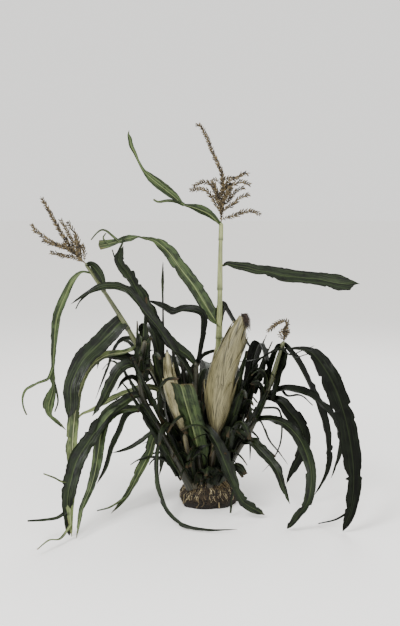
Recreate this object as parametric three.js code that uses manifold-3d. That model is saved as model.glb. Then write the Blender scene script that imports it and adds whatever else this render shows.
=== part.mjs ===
import * as THREE from "three";
import { mergeVertices } from "three/addons/utils/BufferGeometryUtils.js";
import Module from "manifold-3d";

// A dwarf maize plant with many shoots, dug up and standing on its root ball.
// Millimetres, +Z up. The origin is the middle of the root ball's flat underside.
// +X runs from the long leaning shoot to the short right-hand one, and +Y to the back.
// Headings are degrees round Z: 0 is +X, 90 is the back, 180 is -X, 270 is the front.

// Driving dimensions.
const clearance = 0.3; // between a stem and what it carries
const rootBall = {
  width: 140,
  depth: 110,
  height: 68,
  centreHeight: 16, // where the lump is widest
  lumpiness: 0.05,
  around: 22,
  rows: 14,
};
const propRoot = {
  count: 16,
  reach: 64,
  thickness: 5,
  tipGirth: 0.6,
  sides: 5,
  steps: 5,
  startHeight: 56,
  endHeight: 4,
  arc: [[0.3, 1], [0.66, 0.88], [0.96, 0.46]], // shares of the reach and of the start height
};
const stem = { sides: 8, step: 30, sheathSwell: 1.22 }; // the swell is at each joint, where a sheath begins
const blade = {
  lengthPerThickness: 92,
  thinnest: 2.6,
  tipThickness: 0.62,
  step: 26,
  fewestSteps: 6,
  collarWidth: 0.55,
  belly: 0.34, // where a leaf is widest, unless its row says so
  tip: 0.08, // the share of its width that its tip keeps
  taperPower: 1.8,
  stripTip: 0.4,
};
const spikelet = { pitch: 14, valley: 0.5, sides: 4, branchGirth: 0.8, tipGirth: 0.6, branchSteps: 6 };
const earSkin = { steps: 18, sides: 10 };
const husk = { steps: 6, thickness: 4, sunk: 0.7, wrap: 0.5, tipWidth: 0.2 };
// The silk's depth in the ear, reach and girth are shares of the tuft's size.
const silk = { strands: 5, sides: 4, steps: 3, sunk: 0.6, reach: 0.5, girth: 0.28 };

const colours = {
  stalk: 0x8f9a62,
  leaf: 0x33491f,
  husk: 0xb9b084,
  tassel: 0xb59a63,
  roots: 0x6f5c43,
};

// The shoots: where each one's middle line passes, its girth at the foot and the top,
// and how far apart its joints are.
const shoots = {
  main_stalk: {
    line: [[-6, 0, 51], [5, 3, 180], [20, 6, 312], [27, 8, 433], [29, 10, 582], [31, 12, 683]],
    girth: [19, 9],
    joint: 118,
  },
  left_shoot: {
    line: [
      [-28, -6, 49], [-74, -15, 198], [-121, -26, 315], [-147, -32, 360], [-199, -40, 454],
      [-244, -48, 528], [-284, -55, 591],
    ],
    girth: [17, 8],
    joint: 105,
  },
  short_left_shoot: {
    line: [
      [-40, -28, 47], [-88, -47, 145], [-121, -60, 210], [-153, -68, 279], [-156, -70, 355],
      [-146, -68, 413],
    ],
    girth: [21, 11],
    joint: 84,
  },
  middle_shoot: {
    line: [[-14, -26, 51], [-22, -32, 131], [-28, -34, 194], [-31, -34, 275], [-27, -34, 357]],
    girth: [16, 11],
    joint: 74,
  },
  right_shoot: {
    line: [[30, -8, 49], [56, -11, 108], [104, -17, 191], [141, -22, 278], [168, -27, 369], [179, -30, 405]],
    girth: [15, 9],
    joint: 92,
  },
  right_inner_shoot: {
    line: [[20, 14, 49], [60, 28, 175], [91, 36, 248], [106, 40, 290]],
    girth: [15, 10],
    joint: 70,
  },
  right_front_shoot: {
    line: [[20, -24, 49], [44, -34, 165], [68, -42, 253], [78, -44, 297]],
    girth: [15, 9],
    joint: 66,
  },
  back_left_shoot: {
    line: [[-18, 20, 49], [-38, 70, 165], [-58, 112, 275], [-66, 132, 345]],
    girth: [15, 8],
    joint: 80,
  },
  back_right_shoot: {
    line: [[6, 26, 49], [26, 84, 165], [40, 128, 265], [44, 148, 325]],
    girth: [15, 8],
    joint: 78,
  },
};

// The leaves, front and most visible ones first. Each springs from its shoot at the height "at",
// sets off at its heading and turns by "sweep" on the way. Its route is read in its own upright
// plane, as [outwards, upwards] from the collar. Roll turns it about its own midrib, from collar to tip:
// minus on the left and plus on the right bring its face to the front. A strip is a torn-off side
// of the blade, which leaves the midrib at a share of its length and takes its own route.
const leaves = [
  { name: "main_flag_leaf", on: "main_stalk", at: 675, heading: 176, width: 34, keel: 18,
    belly: 0.4, roll: [-30, -45, -48, -12, -45, -50],
    route: [[48, 33], [98, 48], [148, 85], [188, 126], [207, 164], [221, 219]],
    strips: [{ from: 0.28, width: 8, route: [[133, 58], [162, 60]] }] },
  { name: "main_right_leaf", on: "main_stalk", at: 582, heading: 8, width: 42, keel: 10,
    belly: 0.8, blunt: 0.45, roll: [40, 50, 62, 66],
    route: [[36, -7], [121, -23], [245, -43], [332, -56]] },
  { name: "main_left_leaf", on: "main_stalk", at: 433, heading: 188, width: 42, keel: 12,
    roll: [-62, -66, -66, -70, -20, -24, -72], blunt: 0.5,
    route: [[44, 66], [80, 112], [111, 152], [139, 187], [156, 203], [188, 209], [228, 207], [286, 195]],
    strips: [{ from: 0.96, width: 12, route: [[302, 214], [281, 230], [263, 221], [248, 204]] }] },
  { name: "main_arched_leaf", on: "main_stalk", at: 425, heading: 35, width: 24, keel: 12, roll: [20, 30],
    route: [[4, 48], [12, 60], [26, 42], [44, 16], [67, -15], [92, -47], [117, -74]] },
  { name: "front_leaf", on: "middle_shoot", at: 85, heading: 245, width: 56, keel: 14, roll: [0, 0],
    blunt: 0.8, belly: 0.7, route: [[12, 58], [48, 132], [84, 195], [106, 234], [116, 238], [120, 218]] },
  { name: "front_right_leaf", on: "middle_shoot", at: 200, heading: 300, sweep: 34, width: 38, keel: 16,
    roll: [10, 25], blunt: 0.75, belly: 0.8,
    route: [[29, 10], [61, -14], [88, -50], [104, -82], [120, -126], [143, -176]],
    strips: [{ from: 0.55, width: 9, turn: 22, route: [[98, -108], [104, -150], [103, -192]] }] },
  { name: "middle_leaf_1", on: "middle_shoot", at: 340, heading: 178, width: 29, keel: 18, roll: [-50, -58],
    belly: 0.42, blunt: 0.2,
    route: [[17, 27], [62, 61], [96, 105], [115, 136], [152, 212], [182, 258], [170, 288]] },
  { name: "middle_leaf_2", on: "middle_shoot", at: 300, heading: 192, width: 30, keel: 16,
    roll: [-40, -48, -44], belly: 0.5,
    route: [[25, 50], [58, 95], [87, 139], [118, 176], [140, 206], [162, 229], [207, 239], [245, 226],
      [289, 200]] },
  { name: "middle_leaf_3", on: "middle_shoot", at: 350, heading: 165, width: 26, keel: 18, roll: [-30, -40],
    belly: 0.7, route: [[-9, 46], [-16, 94], [-14, 121], [30, 129], [57, 122], [87, 137], [123, 149]] },
  { name: "left_leaf_1", on: "left_shoot", at: 585, heading: 350, width: 24, keel: 12, roll: [50, 62],
    route: [[10, 1], [22, -10], [31, -23], [38, -38], [42, -54]] },
  { name: "left_leaf_2", on: "left_shoot", at: 565, heading: 195, width: 25, keel: 20, roll: [-40, -50],
    blunt: 0.3,
    route: [[20, 5], [41, -22], [72, -86], [91, -150], [94, -192], [94, -239], [96, -272], [109, -341]],
    strips: [
      { from: 0.69, width: 8, route: [[114, -243], [137, -249], [156, -265], [166, -290], [155, -323]] },
      { from: 0.92, width: 7, route: [[95, -330], [67, -360]] },
    ] },
  { name: "left_broad_leaf", on: "left_shoot", at: 454, heading: 197, sweep: 14, width: 50, keel: 12,
    belly: 0.3, roll: [-54, -76],
    route: [[17, -9], [46, -33], [71, -62], [91, -88], [112, -121], [129, -164], [138, -210]] },
  { name: "left_leaf_3", on: "left_shoot", at: 390, heading: 198, sweep: 39, width: 28, keel: 18,
    roll: [-30, -55], belly: 0.7,
    route: [[33, -9], [83, -14], [122, -38], [148, -74], [176, -148], [194, -217], [206, -276], [230, -326],
      [248, -384]],
    strips: [
      { from: 0.75, width: 8, turn: 30, route: [[237, -270], [257, -257], [288, -240]] },
      { from: 0.95, width: 7, turn: 39, route: [[286, -376], [320, -368], [356, -376]] },
    ] },
  { name: "left_leaf_4", on: "left_shoot", at: 360, heading: 185, width: 26, keel: 16, roll: [-40, -50],
    route: [[21, 2], [56, 7], [91, 11], [107, 4], [115, -20]] },
  { name: "left_leaf_5", on: "left_shoot", at: 385, heading: 170, width: 18, keel: 20, roll: [-30, -45],
    route: [[24, 25], [50, 15], [63, -7], [80, -52], [110, -123]] },
  { name: "left_leaf_6", on: "left_shoot", at: 270, heading: 172, width: 20, keel: 16, roll: [-40, -50],
    route: [[29, 19], [67, 15], [104, 2], [142, -17], [181, -40], [207, -52], [227, -78]] },
  { name: "left_folded_leaf", on: "left_shoot", at: 305, heading: 122, width: 36, keel: 8, roll: [0, -12],
    blunt: 0.6, belly: 0.6, route: [[6, 80], [26, 115], [46, 134], [66, 127], [72, 101], [68, 74]] },
  { name: "upright_leaf", on: "left_shoot", at: 273, heading: 90, width: 10, keel: 20, roll: [0, 20],
    route: [[20, 60], [38, 145], [42, 225], [40, 305]] },
  { name: "short_left_leaf_1", on: "short_left_shoot", at: 335, heading: 200, width: 32, keel: 18,
    roll: [-40, -58], route: [[24, 22], [48, 13], [65, -9], [79, -36], [91, -58], [116, -92]],
    strips: [{ from: 0.3, width: 10, turn: -30, route: [[70, 26], [92, 6]] }] },
  { name: "short_left_leaf_2", on: "short_left_shoot", at: 270, heading: 206, sweep: 20, width: 36, keel: 16,
    belly: 0.6, blunt: 0.3, roll: [-30, -66],
    route: [[18, 14], [51, 0], [80, -15], [107, -35], [132, -60], [181, -112], [199, -146], [213, -180],
      [220, -216], [224, -266]],
    strips: [{ from: 0.86, width: 9, turn: 16, route: [[240, -224], [275, -222], [318, -214]] }] },
  { name: "short_left_leaf_3", on: "short_left_shoot", at: 240, heading: 187, width: 22, keel: 20,
    roll: [-30, -50], route: [[29, 5], [50, -3], [72, -49], [89, -84], [104, -130], [126, -168]] },
  { name: "short_left_leaf_4", on: "short_left_shoot", at: 200, heading: 190, width: 14, keel: 14,
    roll: [-30, -30], route: [[17, -8], [41, -27], [65, -41], [88, -49], [112, -53]] },
  { name: "short_left_leaf_5", on: "short_left_shoot", at: 245, heading: 205, sweep: 27, width: 26, keel: 18,
    roll: [-30, -50],
    route: [[44, 9], [92, 4], [123, -28], [138, -73], [153, -115], [172, -148], [207, -186], [240, -238]] },
  { name: "short_left_leaf_6", on: "short_left_shoot", at: 285, heading: 185, width: 18, keel: 18,
    roll: [-20, -40], route: [[9, 26], [21, 40], [42, 33], [60, 8]] },
  { name: "low_left_leaf", on: "left_shoot", at: 205, heading: 205, width: 26, keel: 18, roll: [-30, -50],
    route: [[48, -16], [60, -37], [70, -67], [91, -104], [132, -169], [168, -202]],
    strips: [{ from: 0.82, width: 7, route: [[170, -186], [202, -190]] }] },
  { name: "floor_leaf_1", on: "short_left_shoot", at: 165, heading: 215, sweep: 102, width: 13, keel: 18,
    roll: [-20, 20],
    route: [[21, 2], [38, -33], [56, -69], [77, -105], [100, -133], [134, -154], [176, -158], [222, -157]] },
  { name: "right_folded_leaf", on: "right_inner_shoot", at: 240, heading: 20, width: 44, keel: 10,
    roll: [40, 60], blunt: 0.4, belly: 0.5,
    route: [[14, 60], [16, 95], [26, 128], [43, 142], [60, 119], [73, 81], [79, 28]] },
  { name: "right_leaf_1", on: "right_shoot", at: 395, heading: 150, width: 28, keel: 14, roll: [-50, -70],
    route: [[12, -1], [18, -30], [14, -62], [11, -120]] },
  { name: "right_leaf_2", on: "right_shoot", at: 398, heading: 15, width: 30, keel: 18, roll: [32, 46],
    belly: 0.45,
    route: [[13, -13], [36, -43], [73, -112], [105, -191], [116, -241], [120, -284], [113, -324],
      [85, -378]] },
  { name: "right_broad_leaf", on: "right_front_shoot", at: 285, heading: 345, sweep: -20, width: 44, keel: 12,
    belly: 0.52, roll: [4, 6, 70, 74, 60],
    route: [[36, 81], [84, 96], [154, 97], [178, 84], [201, 64], [230, 1], [268, -79], [288, -156],
      [287, -233], [273, -282]],
    strips: [{ from: 0.9, width: 8, turn: -18, route: [[284, -233], [253, -260], [208, -280]] }] },
  { name: "right_leaf_3", on: "right_shoot", at: 270, heading: 350, width: 28, keel: 16, roll: [20, 42],
    route: [[41, 19], [77, 16], [105, 5], [134, -16], [158, -44], [172, -74], [178, -111], [158, -193]],
    strips: [{ from: 0.12, width: 12, turn: -5, route: [[50, 4], [84, 6], [112, -16]] }] },
  { name: "right_leaf_4", on: "right_shoot", at: 185, heading: 335, sweep: -41, width: 26, keel: 18,
    roll: [20, 46], belly: 0.5,
    route: [[19, 28], [55, 36], [93, 32], [128, 18], [157, -1], [205, -51], [223, -108], [212, -137],
      [186, -181]] },
  { name: "right_leaf_5", on: "right_shoot", at: 265, heading: 330, width: 34, keel: 14, roll: [30, 66],
    belly: 0.45,
    route: [[40, -4], [64, -26], [85, -47], [100, -76], [100, -105], [86, -136], [71, -170], [58, -202]] },
  { name: "right_leaf_6", on: "right_shoot", at: 150, heading: 315, width: 30, keel: 18, roll: [15, 52],
    route: [[28, 14], [60, -2], [92, -22], [116, -45], [132, -75], [153, -112]] },
  { name: "right_leaf_7", on: "right_shoot", at: 185, heading: 20, width: 12, keel: 18, roll: [20, 40],
    route: [[24, 22], [51, -30], [78, -63], [103, -96]] },
  { name: "right_leaf_8", on: "right_shoot", at: 240, heading: 25, width: 12, keel: 18, roll: [20, 40],
    route: [[48, -8], [58, -50], [52, -98], [32, -132], [6, -158]] },
  { name: "back_leaf_1", on: "back_left_shoot", at: 300, heading: 118, width: 38, keel: 18, roll: [0, 20],
    route: [[24, 26], [64, 30], [108, -14], [134, -84], [142, -150]] },
  { name: "back_leaf_2", on: "back_left_shoot", at: 255, heading: 82, width: 36, keel: 18, roll: [0, -20],
    route: [[30, 40], [76, 40], [112, -30], [126, -120], [130, -200]] },
  { name: "back_leaf_3", on: "back_right_shoot", at: 315, heading: 84, width: 38, keel: 18, roll: [0, 20],
    route: [[24, 44], [60, 60], [96, 10], [112, -80], [116, -170]] },
  { name: "back_leaf_4", on: "back_right_shoot", at: 235, heading: 55, width: 34, keel: 18, roll: [0, 30],
    route: [[36, 34], [80, 26], [116, -44], [132, -130], [138, -196]] },
  { name: "back_leaf_5", on: "main_stalk", at: 255, heading: 96, width: 40, keel: 16, roll: [0, 20],
    route: [[30, 52], [80, 76], [136, 54], [188, -10], [226, -100], [240, -190]] },
  { name: "back_leaf_6", on: "back_left_shoot", at: 145, heading: 140, width: 26, keel: 20, roll: [0, 40],
    route: [[34, 20], [70, 0], [98, -50], [118, -120]] },
  { name: "back_leaf_7", on: "back_right_shoot", at: 155, heading: 100, width: 26, keel: 20, roll: [0, -30],
    route: [[34, 24], [74, 6], [110, -46], [132, -130]] },
];

// Tassel branches: [height above the foot, heading, rise at the foot, rise at the tip, length].
const tassels = {
  main_tassel: {
    on: "main_stalk",
    spike: [[0, 0, 0], [2, -2, 60], [1, -4, 112], [-22, -8, 160], [-46, -11, 208], [-56, -12, 228]],
    thickness: 10,
    branches: [
      [6, 0, 38, -12, 96], [28, 12, 40, 8, 76], [44, 336, 52, 40, 66], [52, 22, 48, -18, 78],
      [98, 4, 12, -6, 58], [26, 180, 58, -8, 86], [56, 168, 62, -34, 76], [88, 186, 50, 40, 24],
      [36, 95, 50, 10, 70], [40, 265, 48, 5, 62], [70, 75, 55, 20, 52], [76, 285, 55, 25, 48],
    ],
  },
  left_tassel: {
    on: "left_shoot",
    spike: [[0, 0, 0], [-16, -3, 18], [-40, -7, 50], [-72, -11, 104], [-98, -14, 152]],
    thickness: 9,
    branches: [
      [14, 165, 84, 54, 104], [8, 205, 86, 60, 94], [3, 120, 88, 78, 42], [22, 186, 20, 46, 122],
      [14, 174, 30, 16, 102], [6, 190, 24, 12, 86], [24, 110, 66, 50, 70], [12, 255, 60, 44, 60],
    ],
  },
  right_tassel: {
    on: "right_shoot",
    spike: [[0, 0, 0], [1, -2, 13], [9, -4, 28], [12, -5, 38], [3, -5, 49], [-20, -4, 40], [-42, -3, 21]],
    thickness: 9,
    branches: [[12, 160, 60, 100, 20], [16, 40, 40, 20, 16], [18, 270, 50, 40, 18], [14, 100, 50, 30, 18]],
  },
};

// Ears: the middle line from the foot of the shank, the share of it that is shank, the girth, and the
// size of the tuft of silk at the tip. The profile shares out the girth from the shank's end to the tip.
// A flap is a loose husk tip: [share of the line where it starts, heading, length, width, how far it flares].
const ears = {
  large_ear: {
    line: [[4, -36, 51], [12, -42, 115], [19, -46, 191], [33, -49, 326], [58, -49, 401], [81, -48, 465]],
    shank: 0.33,
    shankGirth: 18,
    girth: 64,
    profile: [0.3, 0.68, 0.94, 1, 0.93, 0.86, 0.75, 0.57, 0.3],
    flaps: [
      [0.36, 350, 168, 34, 14], [0.48, 225, 150, 36, 4], [0.6, 180, 110, 30, 6], [0.66, 20, 120, 26, 8],
    ],
    tuft: 20,
  },
  small_ear: {
    line: [[-30, -36, 49], [-46, -40, 125], [-60, -42, 199], [-88, -48, 309], [-96, -53, 383]],
    shank: 0.44,
    shankGirth: 13,
    girth: 33,
    profile: [0.4, 0.72, 0.94, 1, 0.92, 0.78, 0.6, 0.4, 0.18],
    flaps: [[0.5, 200, 110, 18, 5], [0.62, 330, 100, 16, 4]],
    tuft: 8,
  },
};

const wasm = await Module();
wasm.setup();

const radians = THREE.MathUtils.degToRad;

function pointAt(x, y, z) {
  return new THREE.Vector3(x, y, z);
}

function curveThrough(points) {
  return new THREE.CatmullRomCurve3(points.map((p) => (p.isVector3 ? p : pointAt(...p))));
}

// The value at a fraction of the way along an evenly spaced list.
function between(values, fraction) {
  const place = fraction * (values.length - 1);
  const low = Math.min(Math.floor(place), values.length - 2);
  return THREE.MathUtils.lerp(values[low], values[low + 1], place - low);
}

// A closed skin over rings of points that all have the same count, with a flat fan at each end.
function skinOver(rings) {
  const count = rings[0].length;
  const positions = rings.flat().flatMap((p) => [p.x, p.y, p.z]);
  const index = [];
  for (let ring = 0; ring < rings.length - 1; ring++) {
    for (let side = 0; side < count; side++) {
      const here = ring * count + side;
      const next = ring * count + ((side + 1) % count);
      index.push(here, next, next + count, here, next + count, here + count);
    }
  }
  const last = (rings.length - 1) * count;
  for (let side = 1; side < count - 1; side++) {
    index.push(0, side + 1, side);
    index.push(last, last + side, last + side + 1);
  }
  const skin = new THREE.BufferGeometry();
  skin.setAttribute("position", new THREE.Float32BufferAttribute(positions, 3));
  skin.setIndex(index);
  return skin;
}

function solidFrom(geometry) {
  const bare = geometry.clone();
  for (const name of Object.keys(bare.attributes)) {
    if (name !== "position") bare.deleteAttribute(name);
  }
  const merged = mergeVertices(bare, 1e-4);
  const solid = new wasm.Manifold(
    new wasm.Mesh({
      numProp: 3,
      vertProperties: new Float32Array(merged.attributes.position.array),
      triVerts: new Uint32Array(merged.index.array),
    }),
  );
  if (solid.volume() < 0) throw new Error("a skin is inside out");
  return solid;
}

function geometryFrom(solid) {
  const mesh = solid.getMesh();
  const geometry = new THREE.BufferGeometry();
  geometry.setAttribute("position", new THREE.BufferAttribute(mesh.vertProperties, 3));
  geometry.setIndex(new THREE.BufferAttribute(mesh.triVerts, 1));
  geometry.computeVertexNormals();
  return geometry;
}

function largestBody(solid) {
  return solid.decompose().sort((a, b) => b.volume() - a.volume())[0];
}

// A round bar along a curve, with its radius given at each fraction of the length.
function barAlong(curve, steps, sides, radiusAt) {
  const rings = [];
  let side = null;
  for (let step = 0; step <= steps; step++) {
    const fraction = step / steps;
    const centre = curve.getPointAt(fraction);
    const along = curve.getTangentAt(fraction);
    if (!side) side = new THREE.Vector3(0, 1, 0);
    side = side.clone().addScaledVector(along, -side.dot(along)).normalize();
    const across = new THREE.Vector3().crossVectors(along, side);
    const radius = radiusAt(fraction);
    const ring = [];
    for (let corner = 0; corner < sides; corner++) {
      const angle = (2 * Math.PI * corner) / sides;
      ring.push(
        centre
          .clone()
          .addScaledVector(side, radius * Math.cos(angle))
          .addScaledVector(across, radius * Math.sin(angle)),
      );
    }
    rings.push(ring);
  }
  return solidFrom(skinOver(rings));
}

// A shoot: a tapering stem, thicker at each joint, where a leaf sheath begins.
function shootSolid(shoot, grow) {
  const curve = curveThrough(shoot.line);
  const length = curve.getLength();
  const steps = Math.round(length / stem.step);
  const radiusAt = (fraction) => {
    const taper = THREE.MathUtils.lerp(shoot.girth[0], shoot.girth[1], fraction) / 2;
    const sinceJoint = ((fraction * length) % shoot.joint) / shoot.joint;
    return taper * THREE.MathUtils.lerp(stem.sheathSwell, 1, sinceJoint) + grow;
  };
  return barAlong(curve, steps, stem.sides, radiusAt);
}

function heightOnShoot(shoot, height) {
  const curve = curveThrough(shoot.line);
  let low = 0;
  let high = 1;
  for (let turn = 0; turn < 30; turn++) {
    const middle = (low + high) / 2;
    if (curve.getPointAt(middle).z < height) low = middle;
    else high = middle;
  }
  return curve.getPointAt(low);
}

// A step along a leaf's route, as an offset from its collar.
function offsetAt([outwards, upwards], heading) {
  const angle = radians(heading);
  return pointAt(outwards * Math.cos(angle), outwards * Math.sin(angle), upwards);
}

// The line of a leaf's midrib: its upright route, turned round the collar as it goes.
function midribOf(leaf) {
  const collar = heightOnShoot(shoots[leaf.on], leaf.at);
  const flat = [[0, 0], ...leaf.route];
  const travelled = [0];
  for (let i = 1; i < flat.length; i++) {
    const step = Math.hypot(flat[i][0] - flat[i - 1][0], flat[i][1] - flat[i - 1][1]);
    travelled.push(travelled[i - 1] + step);
  }
  const whole = travelled[travelled.length - 1];
  return curveThrough(flat.map((step, i) => {
    const heading = leaf.heading + ((leaf.sweep ?? 0) * travelled[i]) / whole;
    return collar.clone().add(offsetAt(step, heading));
  }));
}

function stripCurve(leaf, midrib, strip) {
  const collar = heightOnShoot(shoots[leaf.on], leaf.at);
  const heading = leaf.heading + (strip.turn ?? 0);
  const points = strip.route.map((step) => collar.clone().add(offsetAt(step, heading)));
  return curveThrough([midrib.getPointAt(strip.from), ...points]);
}

// A leaf's width along its length: narrow at the collar, widest at the belly, then tapering.
function leafWidth(leaf, fraction) {
  const belly = leaf.belly ?? blade.belly;
  const tip = leaf.blunt ?? blade.tip;
  if (fraction < belly) {
    const swell = Math.sin(((fraction / belly) * Math.PI) / 2);
    return leaf.width * THREE.MathUtils.lerp(blade.collarWidth, 1, swell);
  }
  const rest = (fraction - belly) / (1 - belly);
  return leaf.width * THREE.MathUtils.lerp(1, tip, rest ** blade.taperPower);
}

// A blade along a curve: thick at the midrib, thin at both edges, its halves raised by the keel.
// The side vector is carried along the curve, so the blade never twists except by its roll.
function bladeAlong(curve, heading, keel, rollAt, widthAt, grow) {
  const length = curve.getLength();
  const steps = Math.max(blade.fewestSteps, Math.round(length / blade.step));
  const thickness = Math.max(length / blade.lengthPerThickness, blade.thinnest);
  const rings = [];
  let side = pointAt(Math.sin(radians(heading)), -Math.cos(radians(heading)), 0);
  for (let step = 0; step <= steps; step++) {
    const fraction = step / steps;
    const centre = curve.getPointAt(fraction);
    const along = curve.getTangentAt(fraction);
    side = side.clone().addScaledVector(along, -side.dot(along)).normalize();
    const across = side.clone().applyAxisAngle(along, radians(rollAt(fraction)));
    const face = new THREE.Vector3().crossVectors(across, along).normalize();
    const half = widthAt(fraction) / 2 + grow * 2;
    const reach = half * Math.cos(radians(keel));
    const lift = half * Math.sin(radians(keel));
    const thinning = THREE.MathUtils.lerp(1, blade.tipThickness, fraction ** 3);
    const thick = (thickness / 2) * thinning + grow;
    const right = centre.clone().addScaledVector(across, reach).addScaledVector(face, lift);
    const left = centre.clone().addScaledVector(across, -reach).addScaledVector(face, lift);
    const top = centre.clone().addScaledVector(face, thick);
    const bottom = centre.clone().addScaledVector(face, -thick);
    rings.push([top, right, bottom, left]);
  }
  return solidFrom(skinOver(rings));
}

function leafSolid(leaf, grow) {
  const midrib = midribOf(leaf);
  const rollAt = (fraction) => between(leaf.roll, fraction);
  const widthAt = (fraction) => leafWidth(leaf, fraction);
  let solid = bladeAlong(midrib, leaf.heading, leaf.keel, rollAt, widthAt, grow);
  for (const strip of leaf.strips ?? []) {
    const roll = rollAt(strip.from);
    const stripWidth = (fraction) => strip.width * THREE.MathUtils.lerp(1, blade.stripTip, fraction);
    const curve = stripCurve(leaf, midrib, strip);
    solid = solid.add(bladeAlong(curve, leaf.heading, leaf.keel, () => roll, stripWidth, grow));
  }
  return solid;
}

// A tassel: a spike and its branches, each beaded with rows of spikelets.
function beadedBar(curve, thickness) {
  const beads = Math.max(2, Math.round(curve.getLength() / spikelet.pitch));
  const steps = beads * 2;
  const radiusAt = (fraction) => {
    const swell = Math.round(fraction * steps) % 2 ? 1 : spikelet.valley;
    return (thickness / 2) * swell * THREE.MathUtils.lerp(1, spikelet.tipGirth, fraction);
  };
  return barAlong(curve, steps, spikelet.sides, radiusAt);
}

function branchCurve(start, [, heading, riseAtFoot, riseAtTip, length]) {
  const steps = spikelet.branchSteps;
  const angle = radians(heading);
  const points = [start.clone()];
  for (let step = 0; step < steps; step++) {
    const rise = radians(THREE.MathUtils.lerp(riseAtFoot, riseAtTip, step / (steps - 1)));
    const flat = (Math.cos(rise) * length) / steps;
    const up = (Math.sin(rise) * length) / steps;
    points.push(points[step].clone().add(pointAt(flat * Math.cos(angle), flat * Math.sin(angle), up)));
  }
  return curveThrough(points);
}

function tasselSolid(tassel) {
  const line = shoots[tassel.on].line;
  const foot = pointAt(...line[line.length - 1]);
  const spikeCurve = curveThrough(tassel.spike.map(([x, y, z]) => pointAt(x, y, z).add(foot)));
  let solid = beadedBar(spikeCurve, tassel.thickness);
  const spikeLength = spikeCurve.getLength();
  for (const branch of tassel.branches) {
    const start = spikeCurve.getPointAt(Math.min(0.95, branch[0] / spikeLength));
    solid = solid.add(beadedBar(branchCurve(start, branch), tassel.thickness * spikelet.branchGirth));
  }
  return solid;
}

// An ear: its shank and husk in one, with husk tips standing off it and a tuft of silk.
function earSolid(ear) {
  const curve = curveThrough(ear.line);
  const girthAt = (fraction) => {
    if (fraction < ear.shank) return ear.shankGirth / 2;
    return (ear.girth / 2) * between(ear.profile, (fraction - ear.shank) / (1 - ear.shank));
  };
  let solid = barAlong(curve, earSkin.steps, earSkin.sides, girthAt);
  for (const flap of ear.flaps) {
    solid = solid.add(huskFlap(curve, girthAt, flap));
  }
  const tip = curve.getPointAt(1);
  const along = curve.getTangentAt(1);
  const strandRadius = (ear.tuft * silk.girth) / 2;
  for (let strand = 0; strand < silk.strands; strand++) {
    const lean = offsetAt([ear.tuft * silk.reach, 0], (360 * strand) / silk.strands);
    const root = tip.clone().addScaledVector(along, -ear.tuft * silk.sunk);
    const out = tip.clone().addScaledVector(along, ear.tuft * silk.reach);
    const line = curveThrough([root, out.clone().addScaledVector(lean, 0.5), out.clone().add(lean)]);
    solid = solid.add(barAlong(line, silk.steps, silk.sides, () => strandRadius));
  }
  return solid;
}

// A loose husk tip, which starts inside the ear's skin and ends standing off it.
function huskFlap(curve, girthAt, [start, heading, length, width, flare]) {
  const outwards = offsetAt([1, 0], heading);
  const rings = [];
  for (let step = 0; step <= husk.steps; step++) {
    const fraction = step / husk.steps;
    const place = Math.min(start + (fraction * length) / curve.getLength(), 1);
    const centre = curve.getPointAt(place);
    const along = curve.getTangentAt(place);
    const out = outwards.clone().addScaledVector(along, -outwards.dot(along)).normalize();
    const across = new THREE.Vector3().crossVectors(along, out);
    const away = girthAt(place) * THREE.MathUtils.lerp(husk.sunk, 1, Math.sqrt(fraction)) + flare * fraction;
    const half = (width / 2) * THREE.MathUtils.lerp(1, husk.tipWidth, fraction ** 2);
    const middle = centre.clone().addScaledVector(out, away);
    const wrap = -half * husk.wrap;
    rings.push([
      middle.clone().addScaledVector(out, husk.thickness / 2),
      middle.clone().addScaledVector(across, half).addScaledVector(out, wrap),
      middle.clone().addScaledVector(out, -husk.thickness / 2),
      middle.clone().addScaledVector(across, -half).addScaledVector(out, wrap),
    ]);
  }
  return solidFrom(skinOver(rings));
}

// The soil of the root ball: a round lump, pushed in and out by slow waves.
function soilLump(grow) {
  const lump = new THREE.SphereGeometry(1, rootBall.around, rootBall.rows);
  lump.rotateX(Math.PI / 2);
  const evened = 1 + rootBall.lumpiness;
  const half = {
    x: rootBall.width / 2 / evened + grow,
    y: rootBall.depth / 2 / evened + grow,
    z: (rootBall.height - rootBall.centreHeight) / evened + grow,
  };
  const vertices = lump.attributes.position;
  for (let i = 0; i < vertices.count; i++) {
    const x = vertices.getX(i);
    const y = vertices.getY(i);
    const z = vertices.getZ(i);
    const slow = Math.sin(5 * x + 2 * z) * Math.sin(6 * y - 1);
    const quick = Math.sin(9 * z + 4 * x) * Math.cos(7 * y);
    const swell = 1 + rootBall.lumpiness * (slow + 0.6 * quick);
    vertices.setXYZ(i, half.x * swell * x, half.y * swell * y, rootBall.centreHeight + half.z * swell * z);
  }
  return solidFrom(lump);
}

// One prop root, which arches out of the foot of the shoots and down to the floor.
function propRootSolid(number, grow) {
  const turn = number + 0.3 * Math.sin(7 * number);
  const angle = (2 * Math.PI * turn) / propRoot.count;
  const reach = propRoot.reach * (0.94 + 0.1 * Math.sin(3 * number + 1));
  const oval = rootBall.depth / rootBall.width;
  const spot = (share, height) =>
    pointAt(Math.cos(angle) * reach * share, Math.sin(angle) * reach * share * oval, height);
  const line = propRoot.arc.map(([share, rise]) => spot(share, propRoot.startHeight * rise));
  line.push(spot(1 + 0.08 * Math.sin(5 * number), propRoot.endHeight));
  const radiusAt = (fraction) =>
    (propRoot.thickness / 2) * THREE.MathUtils.lerp(1, propRoot.tipGirth, fraction) + grow;
  return barAlong(curveThrough(line), propRoot.steps, propRoot.sides, radiusAt);
}

// The root ball: soil and fine roots, cut flat below, under a fan of prop roots.
function rootBallSolid(grow) {
  let solid = soilLump(grow);
  for (let number = 0; number < propRoot.count; number++) {
    solid = solid.add(propRootSolid(number, grow));
  }
  const span = rootBall.width * 2;
  const above = new THREE.BoxGeometry(span, span, span).translate(0, 0, span / 2);
  return solid.intersect(solidFrom(above));
}

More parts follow.
